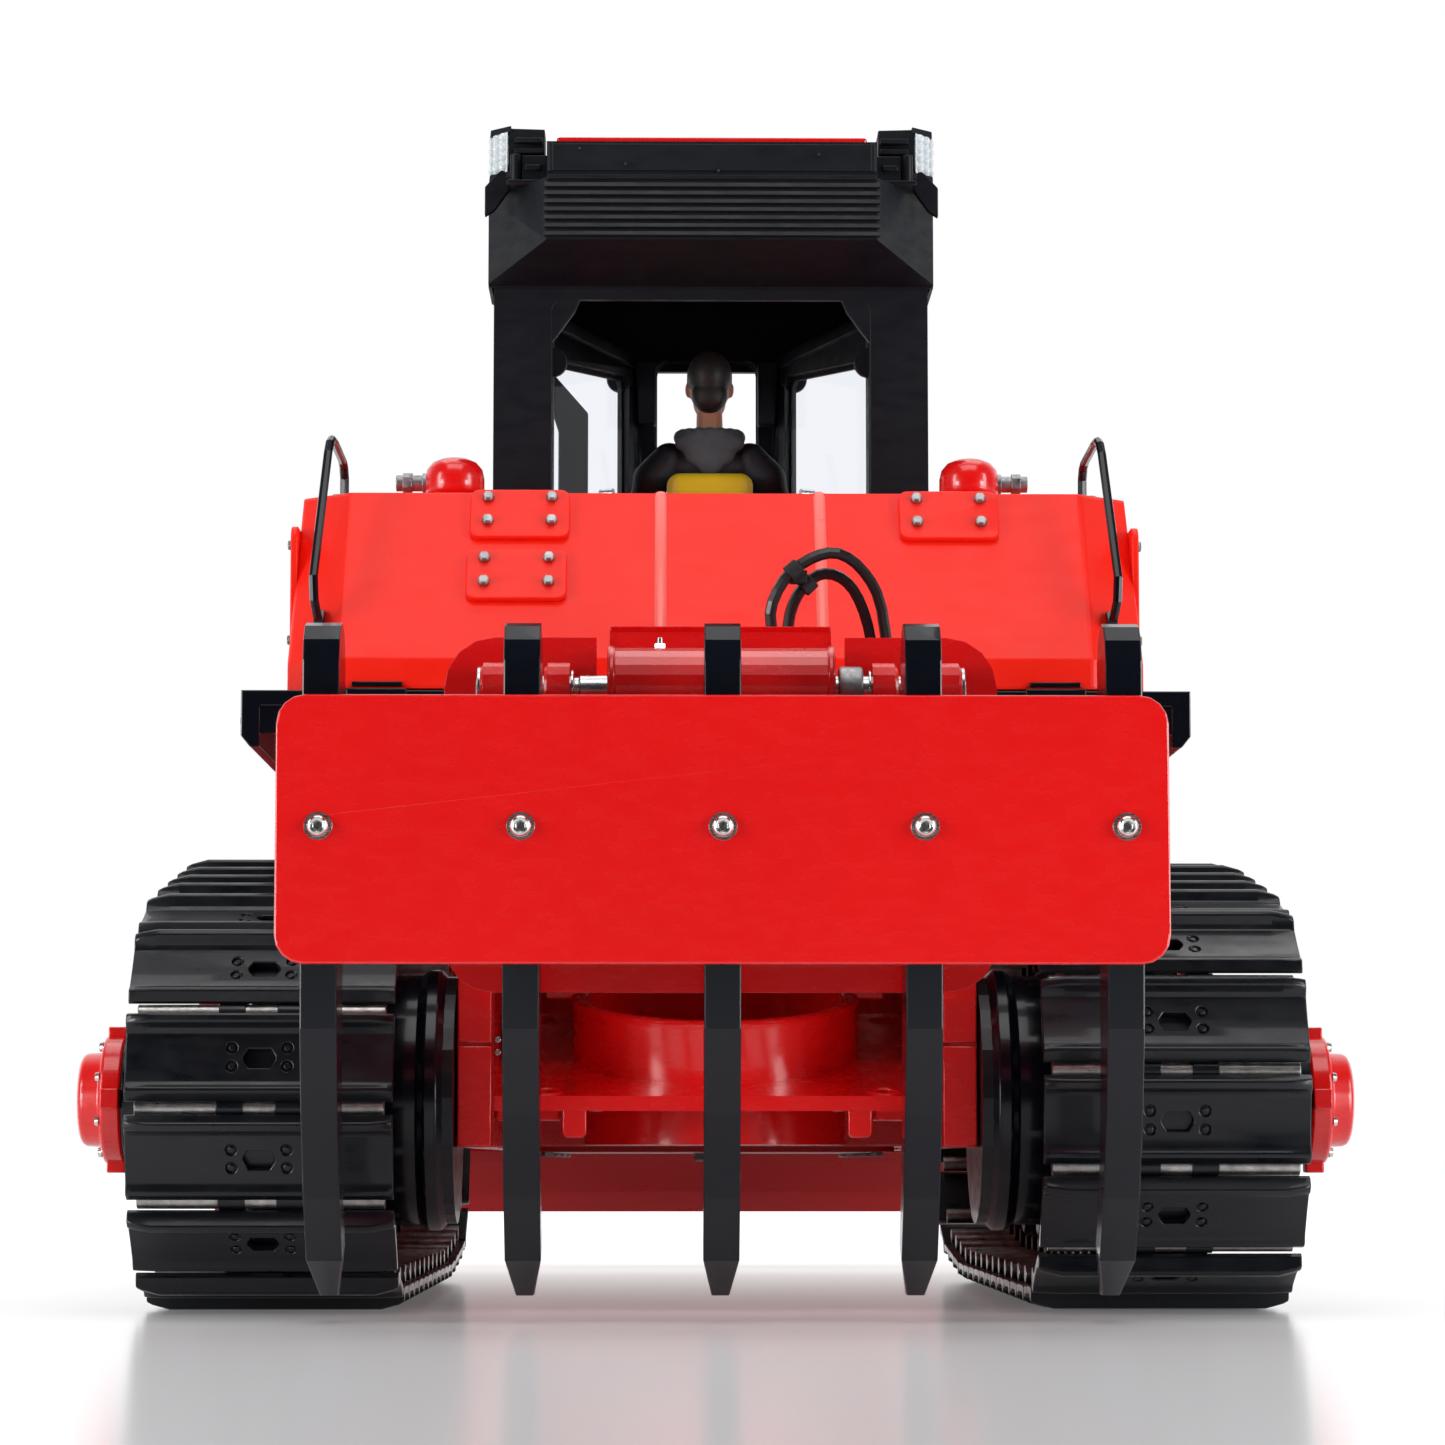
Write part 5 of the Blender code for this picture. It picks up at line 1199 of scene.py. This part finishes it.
# floor mat and side consoles in the cab
mat = bmesh.new()
add_prism(
    mat, [(-46, -30), (46, -30), (46, -14), (20, 58), (-20, 58), (-46, -14)], "Z", 134.0, 134.9
)
for sign in (-1, 1):
    add_side_box(mat, sign, (16.5, -22, 134.5), (27.0, 18, 171))
    add_side_box(mat, sign, (17.0, -10, 170.5), (26.0, 14, 174.5))
piece(mat, "side_consoles", CAB, "tractor", 1.0, 3)


# ---------------------------------------------------------------- seat, driver, controls

seat = bmesh.new()
add_box(seat, (-8, -9, 134.9), (8, 8, 158.4))
add_box(seat, (-11.2, -12, 158), (11.2, 14, 165.6))
add_box(seat, (-10.6, -17, 160), (10.6, -10.8, 199.8))
seat_piece = piece(seat, "moulded_seat", YELLOW, "tractor", 3.6, 6)
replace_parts(seat_piece, "driver_seat")
seams = bmesh.new()
for z in (170.0, 178.0, 186.0, 194.0):
    add_box(seams, (-8.4, -17.35, z), (8.4, -16.6, z + 0.9))
for x in (-5.0, 0.0, 5.0):
    add_box(seams, (x - 0.4, -8, 165.3), (x + 0.4, 11, 165.95))
piece(seams, "seat_piping", YELLOW, "tractor", 0.3)


def limb(shape, points, radii, sides=16):
    """A round limb through points, with a radius at each and a ball at its joints."""
    for index in range(len(points) - 1):
        add_rod(shape, points[index], points[index + 1], radii[index], radii[index + 1], sides)
    for point, radius in zip(points, radii):
        add_ball(shape, point, radius * 1.01, sides)


def remeshed(shape, name, look, body, voxel, smooth=4):
    """Fuses overlapping shapes into one smooth skin, as a moulded figure is."""
    bmesh.ops.scale(shape, vec=(MM, MM, MM), verts=shape.verts)
    mesh = finished_mesh(shape, name)
    obj = new_object(name, mesh)
    fuse = obj.modifiers.new("fuse", "REMESH")
    fuse.mode = "VOXEL"
    fuse.voxel_size = voxel * MM
    soften = obj.modifiers.new("soften", "SMOOTH")
    soften.iterations = smooth
    soften.factor = 0.5
    graph = bpy.context.evaluated_depsgraph_get()
    final = bpy.data.meshes.new_from_object(obj.evaluated_get(graph))
    obj.modifiers.clear()
    obj.data = final
    bpy.data.meshes.remove(mesh)
    final.name = name
    final.materials.clear()
    final.materials.append(look)
    final.shade_smooth()
    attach(obj, body)
    return obj


jacket = bmesh.new()
add_ball(jacket, (0, -4.6, 176), (9.6, 6.4, 11), 24)
add_ball(jacket, (0, -4.6, 191), (10.8, 6.6, 14), 24)
add_ball(jacket, (0, -4.4, 203), (11.4, 5.8, 5.6), 24)
for sign in (-1, 1):
    limb(
        jacket,
        [
            (sign * 10.0, -4.4, 204.4), (sign * 14.6, -4.8, 199.8), (sign * 17.6, -2.4, 184.0),
            (sign * 14.0, 12.5, 179.6)
        ],
        [4.6, 4.5, 3.7, 2.9]
    )
    # folds in the sleeves
    for step, z in enumerate((196.4, 192.2, 188.0)):
        add_ball(jacket, (sign * (15.3 + 0.8 * step), -4.2 + 0.5 * step, z), (4.5, 4.5, 1.0), 16)
add_rod(jacket, (0, -4.2, 205), (0, -3.8, 211.5), 6.0, 4.4, 20)
figure = remeshed(jacket, "driver_jacket", JACKET, "tractor", 0.5, 4)
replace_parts(figure, "driver_figure")
hood = bmesh.new()
for step in range(17):
    angle = math.radians(22.5 * step)
    back = 0.5 - 0.5 * math.sin(angle)
    radius = 1.6 + 0.9 * back
    add_ball(
        hood, (7.0 * math.cos(angle), -4.4 + 5.0 * math.sin(angle), 210.9 - 1.2 * back), radius, 14
    )
add_ball(hood, (0, -9.4, 208.0), (8.8, 2.4, 3.4), 24)
add_ball(hood, (0, -10.0, 205.2), (6.4, 2.0, 3.6), 24)
add_ball(hood, (0, -10.2, 202.8), (3.4, 1.6, 2.8), 20)
remeshed(hood, "driver_hood", HOOD_CLOTH, "tractor", 0.45, 3)
skin = bmesh.new()
add_rod(skin, (0, -4.2, 206), (0, -3.8, 217), 3.5, 3.2, 24)
add_ball(skin, (0, -3.6, 223.6), (5.2, 6.1, 7.2), 28)
add_ball(skin, (0, -1.4, 219.6), (4.1, 4.6, 4.4), 24)
add_ball(skin, (0, 3.0, 221.8), (0.9, 1.3, 1.4), 14)
add_ball(skin, (0, 2.0, 226.2), (3.6, 1.0, 0.9), 14)
add_ball(skin, (0, 2.5, 218.6), (1.9, 0.8, 0.5), 14)
for sign in (-1, 1):
    add_ball(skin, (sign * 5.3, -3.2, 222.6), (0.8, 1.4, 2.0), 14)
    add_ball(skin, (sign * 2.0, 1.9, 224.3), (1.0, 0.6, 0.6), 12)
    limb(skin, [(sign * 14.0, 12.5, 179.6), (sign * 12.9, 16.4, 178.8)], [2.2, 2.5], 14)
    for finger in range(4):
        add_rod(
            skin, (sign * (11.6 + 0.9 * finger), 16.0, 179.6 - 0.4 * finger),
            (sign * (11.4 + 0.9 * finger), 18.8, 177.6), 0.75, 0.6, 10
        )
remeshed(skin, "driver_skin", SKIN, "tractor", 0.4, 3)
eyes = bmesh.new()
for sign in (-1, 1):
    add_ball(eyes, (sign * 2.0, 2.35, 224.3), (0.55, 0.3, 0.38), 12)
piece(eyes, "driver_eyes", RECESS, "tractor")
hair = bmesh.new()
add_ball(hair, (0, -4.3, 225.6), (5.7, 6.5, 6.6), 28)
add_ball(hair, (0, -7.0, 220.6), (4.5, 3.4, 4.6), 24)
for sign in (-1, 1):
    add_ball(hair, (sign * 4.7, -2.6, 224.6), (1.0, 2.4, 3.4), 14)
remeshed(hair, "driver_hair", HAIR, "tractor", 0.45, 3)
legs = bmesh.new()
for sign in (-1, 1):
    limb(
        legs, [(sign * 4.8, -3.0, 170.4), (sign * 7.6, 24.0, 170.2), (sign * 7.6, 28.5, 142.0)],
        [4.9, 4.1, 3.1]
    )
    add_ball(legs, (sign * 7.6, 24.6, 167.4), (4.2, 3.6, 1.6), 16)
add_ball(legs, (0, -3.4, 170.8), (9.2, 6.4, 5.0), 24)
remeshed(legs, "driver_trousers", TROUSERS, "tractor", 0.6, 4)
boots = bmesh.new()
for sign in (-1, 1):
    add_rod(boots, (sign * 7.6, 28.2, 144.0), (sign * 7.6, 28.8, 137.6), 3.3, 3.4, 20)
    add_ball(boots, (sign * 7.6, 32.6, 137.6), (3.3, 6.4, 2.9), 24)
remeshed(boots, "driver_boots", HAIR, "tractor", 0.45, 3)

levers, panel, dials = new_shapes(3)
for sign in (-1, 1):
    add_rod(levers, (sign * 21.5, 5.0, 174.0), (sign * 20.0, 8.0, 186.0), 0.8, sides=14)
    add_ball(levers, (sign * 19.9, 8.2, 187.4), (1.9, 1.9, 2.3), 18)
    add_rod(levers, (sign * 12.5, 50.0, 172.0), (sign * 12.5, 18.4, 179.0), 0.9, sides=14)
    add_rod(levers, (sign * 12.5, 20.5, 178.5), (sign * 12.5, 15.5, 179.8), 1.4, sides=14)
    low, high = across(sign, 3.0, 7.5)
    add_box(levers, (low, 40, 136), (high, 46, 137.4), Matrix.Rotation(0.5, 4, "X"))
piece(levers, "control_levers", CAB_RIB, "tractor", 0.2)
turn = Matrix.Rotation(math.radians(-32), 4, "X")
add_box(panel, (-12.5, 46.2, 164.5), (12.5, 47.6, 174.5), turn, (0, 47, 169))
piece(panel, "console_panel", SCREEN, "tractor", 0.4)
for x in (-7.5, 0, 7.5):
    spot = Vector((x, 45.9, 169.2))
    out = turn @ Vector((0, -1, 0))
    add_turned(
        dials, [(0.0, 0), (0.0, 3.2), (0.9, 3.2), (0.9, 2.6), (0.5, 2.5), (0.5, 0)], spot, out, 28
    )
piece(dials, "console_dials", WHITE, "tractor", 0.1)


# ---------------------------------------------------------------- engine

bolts, dark = new_shapes(2)
for sign in (-1, 1):
    for row in range(8):
        y = 84 + 8.2 * row
        # near-black strips in the gaps between the side louvres: painted shade
        add_side_box(dark, sign, (39.4, y + 3.4, 129), (40.2, y + 5.8, 151))
    for y in (81, 152):
        for z in (122, 156):
            add_bolt(bolts, (sign * 40.0, y, z), (sign, 0, 0), 1.2, 1.0)
piece(dark, "hood_louvre_gaps", RECESS, "tractor")
piece(bolts, "hood_bolts", BOLT, "tractor", 0.1)
vents = bmesh.new()
for sign in (-1, 1):
    for row in range(8):
        y = 85 + 8.2 * row
        outline = [
            (sign * 39.8, y), (sign * 41.3, y + 0.5), (sign * 41.1, y + 3.2), (sign * 39.8, y + 3.4)
        ]
        add_prism(vents, outline, "Z", 128, 152)
add_box(
    vents, (-28, 96, 172.2), (4, 140, 173.4), Matrix.Rotation(-math.atan2(8, 79.5), 4, "X"),
    (0, 96, 174.0)
)
piece(vents, "hood_louvres", RED, "tractor", 0.3)

core = bmesh.new()
for row in range(34):
    z = 62 + 2.8 * row
    add_box(core, (-38, 158.15, z), (38, 158.9, z + 0.8))
piece(core, "radiator_fins", STEEL, "tractor")
bars, bolts = new_shapes(2)
for column in range(10):
    x = -40.5 + 9 * column
    add_prism(bars, rounded((x - 1.2, 58), (x + 1.2, 157), 1.0, 3), "Y", 161.8, 163.4)
for x in (-42.5, 42.5):
    for z in (52, 108, 163):
        add_bolt(bolts, (x, 162.0, z), (0, 1, 0), 1.5, 1.3)
piece(bars, "grille_bars", CAB_RIB, "tractor", 0.3)
piece(bolts, "grille_bolts", BOLT, "tractor", 0.1)

stack = bmesh.new()
add_turned(
    stack,
    [
        (168.5, 2.3), (168.5, 5.6), (170.0, 5.6), (170.6, 3.4), (175.6, 3.4), (177.0, 4.9),
        (190.2, 4.9), (192.0, 3.4), (203.0, 3.2), (206.8, 3.4), (207.8, 3.2), (207.8, 2.5),
        (172.0, 2.3)
    ],
    (15, 112, 0), (0, 0, 1), 40
)
for row in range(5):
    add_turned(
        stack,
        [
            (179.0 + 2.2 * row, 4.7), (179.5 + 2.2 * row, 5.3), (180.2 + 2.2 * row, 5.3),
            (180.6 + 2.2 * row, 4.7)
        ],
        (15, 112, 0), (0, 0, 1), 40
    )
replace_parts(piece(stack, "exhaust_pipe", CAB, "tractor", 0.1), "exhaust_stack")

# a plate under the grille
plate = bmesh.new()
add_box(plate, (-8, 157.5, 78), (8, 159.0, 96))
piece(plate, "front_plate", RED_SHADE_AND_SEAMS, "tractor", 0.3)


# ---------------------------------------------------------------- ripper

# face plate screws: button heads with a real hexagon socket
SHANK_XS = (-76.4, -38.2, 0.0, 38.2, 76.4)
SCREW_Z = 94
for number, x in enumerate(SHANK_XS, 1):
    shape = bmesh.new()
    add_turned(
        shape,
        [
            (-1.75, 1.16), (-1.9, 1.45), (-1.75, 1.75), (-1.35, 2.0), (-0.7, 2.12), (0.0, 2.1),
            (0.0, 1.2), (12.4, 1.2), (12.4, 0)
        ],
        (x, -250.1, SCREW_Z), (0, 1, 0), 36
    )
    # the socket: a hexagon wall inside the head, with a floor
    count = 36
    shape.verts.ensure_lookup_table()
    rim = [shape.verts[index] for index in range(count)]
    floor_ring = []
    hexagon = []
    for vert in rim:
        offset = vert.co - Vector((x, vert.co.y, SCREW_Z))
        angle = math.atan2(offset.z, offset.x)
        sector = (angle + math.pi / 6) % (math.pi / 3) - math.pi / 6
        reach = 0.86 / math.cos(sector)
        hexagon.append(
            shape.verts.new(
                (x + reach * math.cos(angle), -251.78, SCREW_Z + reach * math.sin(angle))
            )
        )
        floor_ring.append(
            shape.verts.new(
                (x + reach * math.cos(angle), -250.75, SCREW_Z + reach * math.sin(angle))
            )
        )
    for index in range(count):
        after = (index + 1) % count
        shape.faces.new((rim[index], rim[after], hexagon[after], hexagon[index]))
        shape.faces.new((hexagon[index], hexagon[after], floor_ring[after], floor_ring[index]))
    shape.faces.new(floor_ring)
    screw = piece(
        shape, f"socket_screw_{number}", ZINC, "ripper_carriage", 0.06
    )
    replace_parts(screw, f"ripper_screw_{number}")
    cup = bmesh.new()
    add_turned(
        cup, [(0.0, 2.0), (-0.35, 2.15), (-0.35, 2.6), (0.0, 2.75)], (x, -250.0, SCREW_Z),
        (0, 1, 0), 36
    )
    piece(cup, f"screw_seat_{number}", STEEL, "ripper_carriage")
    nut = bmesh.new()
    add_bolt(nut, (x, -230.9, SCREW_Z), (0, 1, 0), 2.7, 2.2, 3.2)
    add_rod(nut, (x, -231.0, SCREW_Z), (x, -226.6, SCREW_Z), 1.2, sides=14)
    piece(nut, f"shank_nut_{number}", BOLT, "ripper_carriage", 0.15)

# weld beads and gussets on the carriage
welds, gussets = new_shapes(2)
for z in (73.0, 107.5):
    for x0, x1 in ((-54, -44), (-32, -6), (6, 32), (44, 54)):
        steps = int((x1 - x0) / 1.1)
        for step in range(steps + 1):
            add_ball(welds, (x0 + (x1 - x0) * step / steps, -217.0, z), (0.9, 0.7, 0.7), 8)
for sign in (-1, 1):
    for x in (57.3, 19.1):
        low, high = sorted((sign * x - 1.2, sign * x + 1.2))
        add_prism(
            gussets,
            [(-216.8, 72.6), (-216.8, 107.8), (-228.0, 107.8), (-222.5, 90.0), (-228.0, 72.6)], "X",
            low, high
        )
piece(gussets, "carriage_gussets", RED, "ripper_carriage", 0.3)
piece(welds, "carriage_welds", RED, "ripper_carriage", 0.0)

# the top link's barrel: raised end collars, flange fold, grease nipple
LINK_END = (-221.0, 123.0)
collar = bmesh.new()
for sign in (-1, 1):
    add_turned(
        collar, [(20.6, 8.2), (20.9, 8.85), (21.9, 8.85), (22.25, 8.4), (22.25, 3.6), (20.6, 3.6)],
        (0, *LINK_END), (sign, 0, 0), 40
    )
add_prism(
    collar,
    [
        (-213.8, 128.5), (-213.0, 134.8), (-214.6, 136.5), (-210.9, 136.5), (-210.9, 120.5),
        (-213.8, 120.5)
    ],
    "X", -21.9, 21.9
)
piece(collar, "top_link_collars", RED, "ripper_link", 0.3)
nipple = bmesh.new()
add_rod(nipple, (-12, -221, 131.0), (-12, -221, 132.2), 1.2, sides=6)
add_rod(nipple, (-12, -221, 132.0), (-12, -221, 133.4), 0.7, 0.5, 14)
piece(nipple, "grease_nipple", STEEL, "ripper_link", 0.05)

# top pin: turned ends, circlips and a rough clamp block to the right of the barrel
pin, block, clips = new_shapes(3)
add_turned(
    pin,
    [
        (-48.0, 0), (-48.0, 2.2), (-47.4, 2.9), (-46.9, 2.95), (-29.0, 2.95), (-28.7, 2.6),
        (-27.9, 2.6), (-27.6, 2.95), (46.9, 2.95), (47.4, 2.9), (48.0, 2.2), (48.0, 0)
    ],
    (0, *LINK_END), (1, 0, 0), 40
)
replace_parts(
    piece(pin, "turned_top_pin", STEEL, "ripper_carriage", 0.08),
    "ripper_top_pin"
)
add_turned(
    block, [(23.0, 3.0), (23.0, 4.4), (23.6, 4.7), (27.2, 4.7), (27.8, 4.4), (27.8, 3.0)],
    (0, *LINK_END), (1, 0, 0), 32
)
piece(block, "pin_clamp", CAST, "ripper_carriage", 0.2)
for sign in (-1, 1):
    add_turned(
        clips, [(46.9, 3.0), (46.9, 4.6), (47.7, 4.6), (47.7, 3.0)], (0, *LINK_END), (sign, 0, 0),
        32
    )
    add_turned(
        clips, [(28.9, 3.0), (28.9, 4.0), (29.4, 4.0), (29.4, 3.0)], (0, *LINK_END), (sign, 0, 0),
        32
    )
piece(clips, "pin_clips", STEEL, "ripper_carriage", 0.1)
ears = bmesh.new()
for sign in (-1, 1):
    for low, high in ((34.0, 34.5), (46.6, 47.0)):
        add_turned(
            ears, [(low, 3.2), (low, 5.0), (high + 0.2, 4.6), (high + 0.2, 3.2)], (0, *LINK_END),
            (sign, 0, 0), 32
        )
piece(ears, "ear_bosses", RED, "ripper_carriage", 0.15)
# lower arm: pin caps and weld collars
collars, caps = new_shapes(2)
for sign in (-1, 1):
    add_turned(
        collars, [(33.2, 5.4), (33.9, 6.6), (34.6, 6.9), (34.6, 5.4)], (0, -160, 80), (sign, 0, 0),
        36
    )
    add_turned(
        collars, [(41.0, 5.4), (41.0, 6.9), (41.8, 6.6), (42.6, 5.4)], (0, -160, 80), (sign, 0, 0),
        36
    )
    add_turned(
        caps, [(41.0, 0), (42.1, 0.1), (42.1, 2.6), (41.6, 3.2), (40.9, 3.2)], (0, -206, 80),
        (sign, 0, 0), 28
    )
    add_turned(
        caps, [(41.0, 0), (42.0, 0.1), (42.0, 2.2), (41.6, 2.6), (40.9, 2.6)], (0, -198, 86),
        (sign, 0, 0), 28
    )
piece(collars, "arm_collars", RED, "ripper_arm", 0.15)
piece(caps, "arm_pin_caps", STEEL, "ripper_arm", 0.1)

# ripper cylinder: gland and end cap
T3, E3 = Vector((0, -170.0, 108.0)), Vector((0, -198.0, 86.0))
way = (E3 - T3).normalized()
gland = bmesh.new()
add_turned(gland, [(7.6, 4.2), (7.6, 5.0), (11.3, 5.0), (11.8, 4.4), (11.8, 2.15)], T3, way, 36)
add_turned(gland, [(-16.6, 0), (-16.6, 3.9), (-15.8, 4.9), (-12.6, 4.9), (-12.6, 4.2)], T3, way, 36)
piece(gland, "ripper_gland", BOLT, "ripper_barrel", 0.15)

# hoses: the clip that ties them at the top of the loop and the fittings on the rear wall
clip = bmesh.new()
add_turned(
    clip, [(-1.5, 1.3), (-1.5, 1.75), (1.5, 1.75), (1.5, 1.3)], (15.4, -184.9, 151.9),
    (0.76, 0.0, 0.65), 24
)
add_turned(
    clip, [(-1.5, 1.3), (-1.5, 1.75), (1.5, 1.75), (1.5, 1.3)], (18.4, -180.8, 149.4),
    (0.72, 0.0, 0.69), 24
)
add_box(clip, (14.6, -184.4, 149.4), (18.2, -181.2, 152.0))
piece(clip, "hose_clip", RUBBER, "tractor", 0.2)
fittings = bmesh.new()
for place in (
    (15.0, -150.6, 113.0), (37.2, -150.6, 116.4), (19.0, -150.6, 104.0), (33.8, -150.6, 110.8)
):
    place = Vector(place)
    add_rod(fittings, place + Vector((0, 0.4, 0)), place - Vector((0, 1.2, 0)), 2.4, sides=6)
    add_rod(fittings, place - Vector((0, 1.2, 0)), place - Vector((0, 4.2, 0)), 1.75, 1.6, 24)
piece(fittings, "hose_fittings", STEEL, "tractor", 0.15)


# ---------------------------------------------------------------- blade and its lift

edge, bolts, ribs = new_shapes(3)
for index in range(5):
    low = -146.5 + index * 58.7
    outline = [(247.3, 16.1), (251.9, 16.1), (243.4, 29.0), (242.2, 28.2)]
    add_prism(edge, outline, "X", low, low + 58.1)
    for dx in (8, 22, 36, 50):
        add_bolt(bolts, (low + dx, 246.2, 24.4), (0, 0.83, 0.55), 1.5, 1.0)
piece(edge, "cutting_edges", STEEL, "blade_frame", 0.2)
piece(bolts, "cutting_edge_bolts", BOLT, "blade_frame", 0.1)
for x in (-110, -82, -30, 0, 30, 82, 110):
    outline = [(231.0, 53.4)] + [
        (303.0 - 79.4 * math.cos(math.asin((z - 66.0) / 79.4)) + 0.4, z) for z in (
            54, 66, 80, 94, 108, 114
        )
    ] + [(229.0, 114), (222.0, 100), (216.0, 80), (214.4, 60), (214.4, 53.4)]
    outline = [(min(y, 236.0), z) for y, z in outline]
    add_prism(ribs, outline, "X", x - 1.6, x + 1.6)
add_box(ribs, (-147, 236.6, 115.2), (147, 242.0, 118.4))
piece(ribs, "blade_ribs", RED, "blade_frame", 0.3)
shoes = bmesh.new()
for sign in (-1, 1):
    add_turned(
        shoes, [(131.0, 4.4), (131.0, 8.2), (122.8, 8.2), (122.8, 4.4)], (0, *PUSH_PIVOT),
        (sign, 0, 0), 36
    )
    add_side_box(shoes, sign, (121.4, 205, 33.4), (132.4, 214.4, 53.6))
    for y in (60, 110, 160):
        add_side_box(shoes, sign, (122.4, y, 36.2), (131.2, y + 5, 48.6))
piece(shoes, "push_arm_ends", RED, "blade_frame", 0.4)

T, E = Vector((0, 130.0, 165.0)), Vector((0, 203.0, 60.0))
way = (E - T).normalized()
for side, sign in SIDE:
    start = T + Vector((sign * 60.5, 0, 0))
    gland, port = new_shapes(2)
    add_turned(
        gland, [(64.5, 4.6), (65.0, 5.6), (71.6, 5.6), (72.4, 4.8), (72.4, 3.0)], start, way, 36
    )
    add_turned(
        gland, [(-20.4, 0), (-20.4, 3.4), (-19.4, 4.9), (-14.0, 4.9), (-14.0, 4.3)], start, way, 36
    )
    piece(gland, "lift_gland_" + side, BOLT, "lift_barrel_" + side, 0.15)
    side_way = Vector((0, way.z, -way.y)) * -1
    for along in (-11.0, 58.0):
        spot = start + way * along
        add_rod(port, spot + side_way * 3.8, spot + side_way * 6.4, 1.9, sides=6)
        add_rod(port, spot + side_way * 6.0, spot + side_way * 8.0, 1.2, sides=16)
    route = [
        start + way * 58 + side_way * 7.8, start + way * 52 + side_way * 8.2,
        start + way * 10 + side_way * 7.4, start + way * -6 + side_way * 7.4,
        start + way * -10.6 + side_way * 7.4
    ]
    piece(port, "lift_ports_" + side, STEEL, "lift_barrel_" + side, 0.1)
    wire("lift_pipe_" + side, route, 0.8, STEEL, "lift_barrel_" + side)
    caps = bmesh.new()
    for x in (53.6, 67.4):
        add_turned(
            caps, [(x - 0.2, 0), (x - 0.2, 3.0), (x + 0.8, 3.0), (x + 0.8, 0)], (0, 203, 60),
            (sign, 0, 0), 28
        )
    piece(caps, "lift_pin_caps_" + side, STEEL, "blade_frame", 0.15)
    washer = bmesh.new()
    add_turned(
        washer, [(66.2, 0), (66.2, 3.6), (68.3, 3.6), (68.3, 0)], (0, 130, 165), (sign, 0, 0), 28
    )
    piece(washer, "trunnion_caps_" + side, STEEL, "tractor", 0.2)


# ---------------------------------------------------------------- floor, light, camera

world = bpy.data.worlds.new("studio")
bpy.context.scene.world = world
world.use_nodes = True
tree = world.node_tree
sky = tree.nodes["Background"]
sky.inputs["Strength"].default_value = 1.0
facing = tree.nodes.new("ShaderNodeTexCoord")
split = tree.nodes.new("ShaderNodeSeparateXYZ")
tree.links.new(facing.outputs["Generated"], split.inputs["Vector"])
# a white cyclorama ahead, and a dark room behind the camera
ahead = ramp_node(
    tree, range_node(tree, split.outputs["Y"], -1.0, 1.0, 0.0, 1.0),
    [(0.35, (0.035, 0.037, 0.042)), (0.60, (0.22, 0.22, 0.23)), (0.80, (1.0, 1.0, 1.0))]
)
tree.links.new(ahead, sky.inputs["Color"])

floor_material, floor_tree, floor_shader = new_material("pale_floor", (0.86, 0.86, 0.87), 0.16)
# the floor glows more into the distance, painted light so that it meets the white background
spot = floor_tree.nodes.new("ShaderNodeTexCoord")
split = floor_tree.nodes.new("ShaderNodeSeparateXYZ")
floor_tree.links.new(spot.outputs["Object"], split.inputs["Vector"])
glow = range_node(floor_tree, split.outputs["Y"], -0.1, 1.6, 0.09, 0.55)
floor_tree.links.new(glow, floor_shader.inputs["Emission Strength"])
# and it darkens behind the camera, where the room is dim
nearness = range_node(floor_tree, split.outputs["Y"], -1.6, -0.6, 0.0, 1.0)
shade = ramp_node(floor_tree, nearness, [(0.0, (0.05, 0.05, 0.055)), (1.0, (0.86, 0.86, 0.87))])
floor_tree.links.new(shade, floor_shader.inputs["Base Color"])
floor_shader.inputs["Emission Color"].default_value = (1.0, 1.0, 1.0, 1.0)
floor_mesh = bpy.data.meshes.new("floor")
floor_mesh.from_pydata([(-6, -6, 0), (6, -6, 0), (6, 9, 0), (-6, 9, 0)], [], [(0, 1, 2, 3)])
floor_mesh.materials.append(floor_material)
floor = new_object("floor", floor_mesh)


def lamp(name, place, target, size, power, color=(1.0, 1.0, 1.0)):
    data = bpy.data.lights.new(name, "AREA")
    data.shape = "RECTANGLE"
    data.size, data.size_y = size
    data.energy = power
    data.color = color
    obj = new_object(name, data)
    obj.location = place
    obj.rotation_euler = (Vector(target) - Vector(place)).to_track_quat("-Z", "Y").to_euler()


for x, side_name in ((-1, "left"), (1, "right")):
    lamp(
        "strip_" + side_name, (1.25 * x, -0.75, 0.40), (0, -0.15, 0.10), (0.30, 1.0), 7.5,
        (0.93, 0.96, 1.0)
    )
    lamp("low_" + side_name, (1.30 * x, -1.20, 0.22), (0, -0.15, 0.05), (0.35, 0.35), 6.0)
lamp("over", (0, -0.75, 1.55), (0, -0.1, 0.10), (1.3, 0.8), 8.6)
lamp("top", (0, 0.35, 1.6), (0, 0.1, 0.1), (1.4, 0.9), 7)

camera_data = bpy.data.cameras.new("camera")
camera_data.sensor_width = 36.0
camera_data.lens = 105.9
camera_data.clip_end = 20.0
camera = new_object("camera", camera_data)
camera.location = (-0.011, -1.05, 0.031)
camera.rotation_euler = (math.radians(90 + 5.9), 0.0, math.radians(-0.78))
bpy.context.scene.camera = camera
bpy.context.scene.view_settings.view_transform = "Standard"
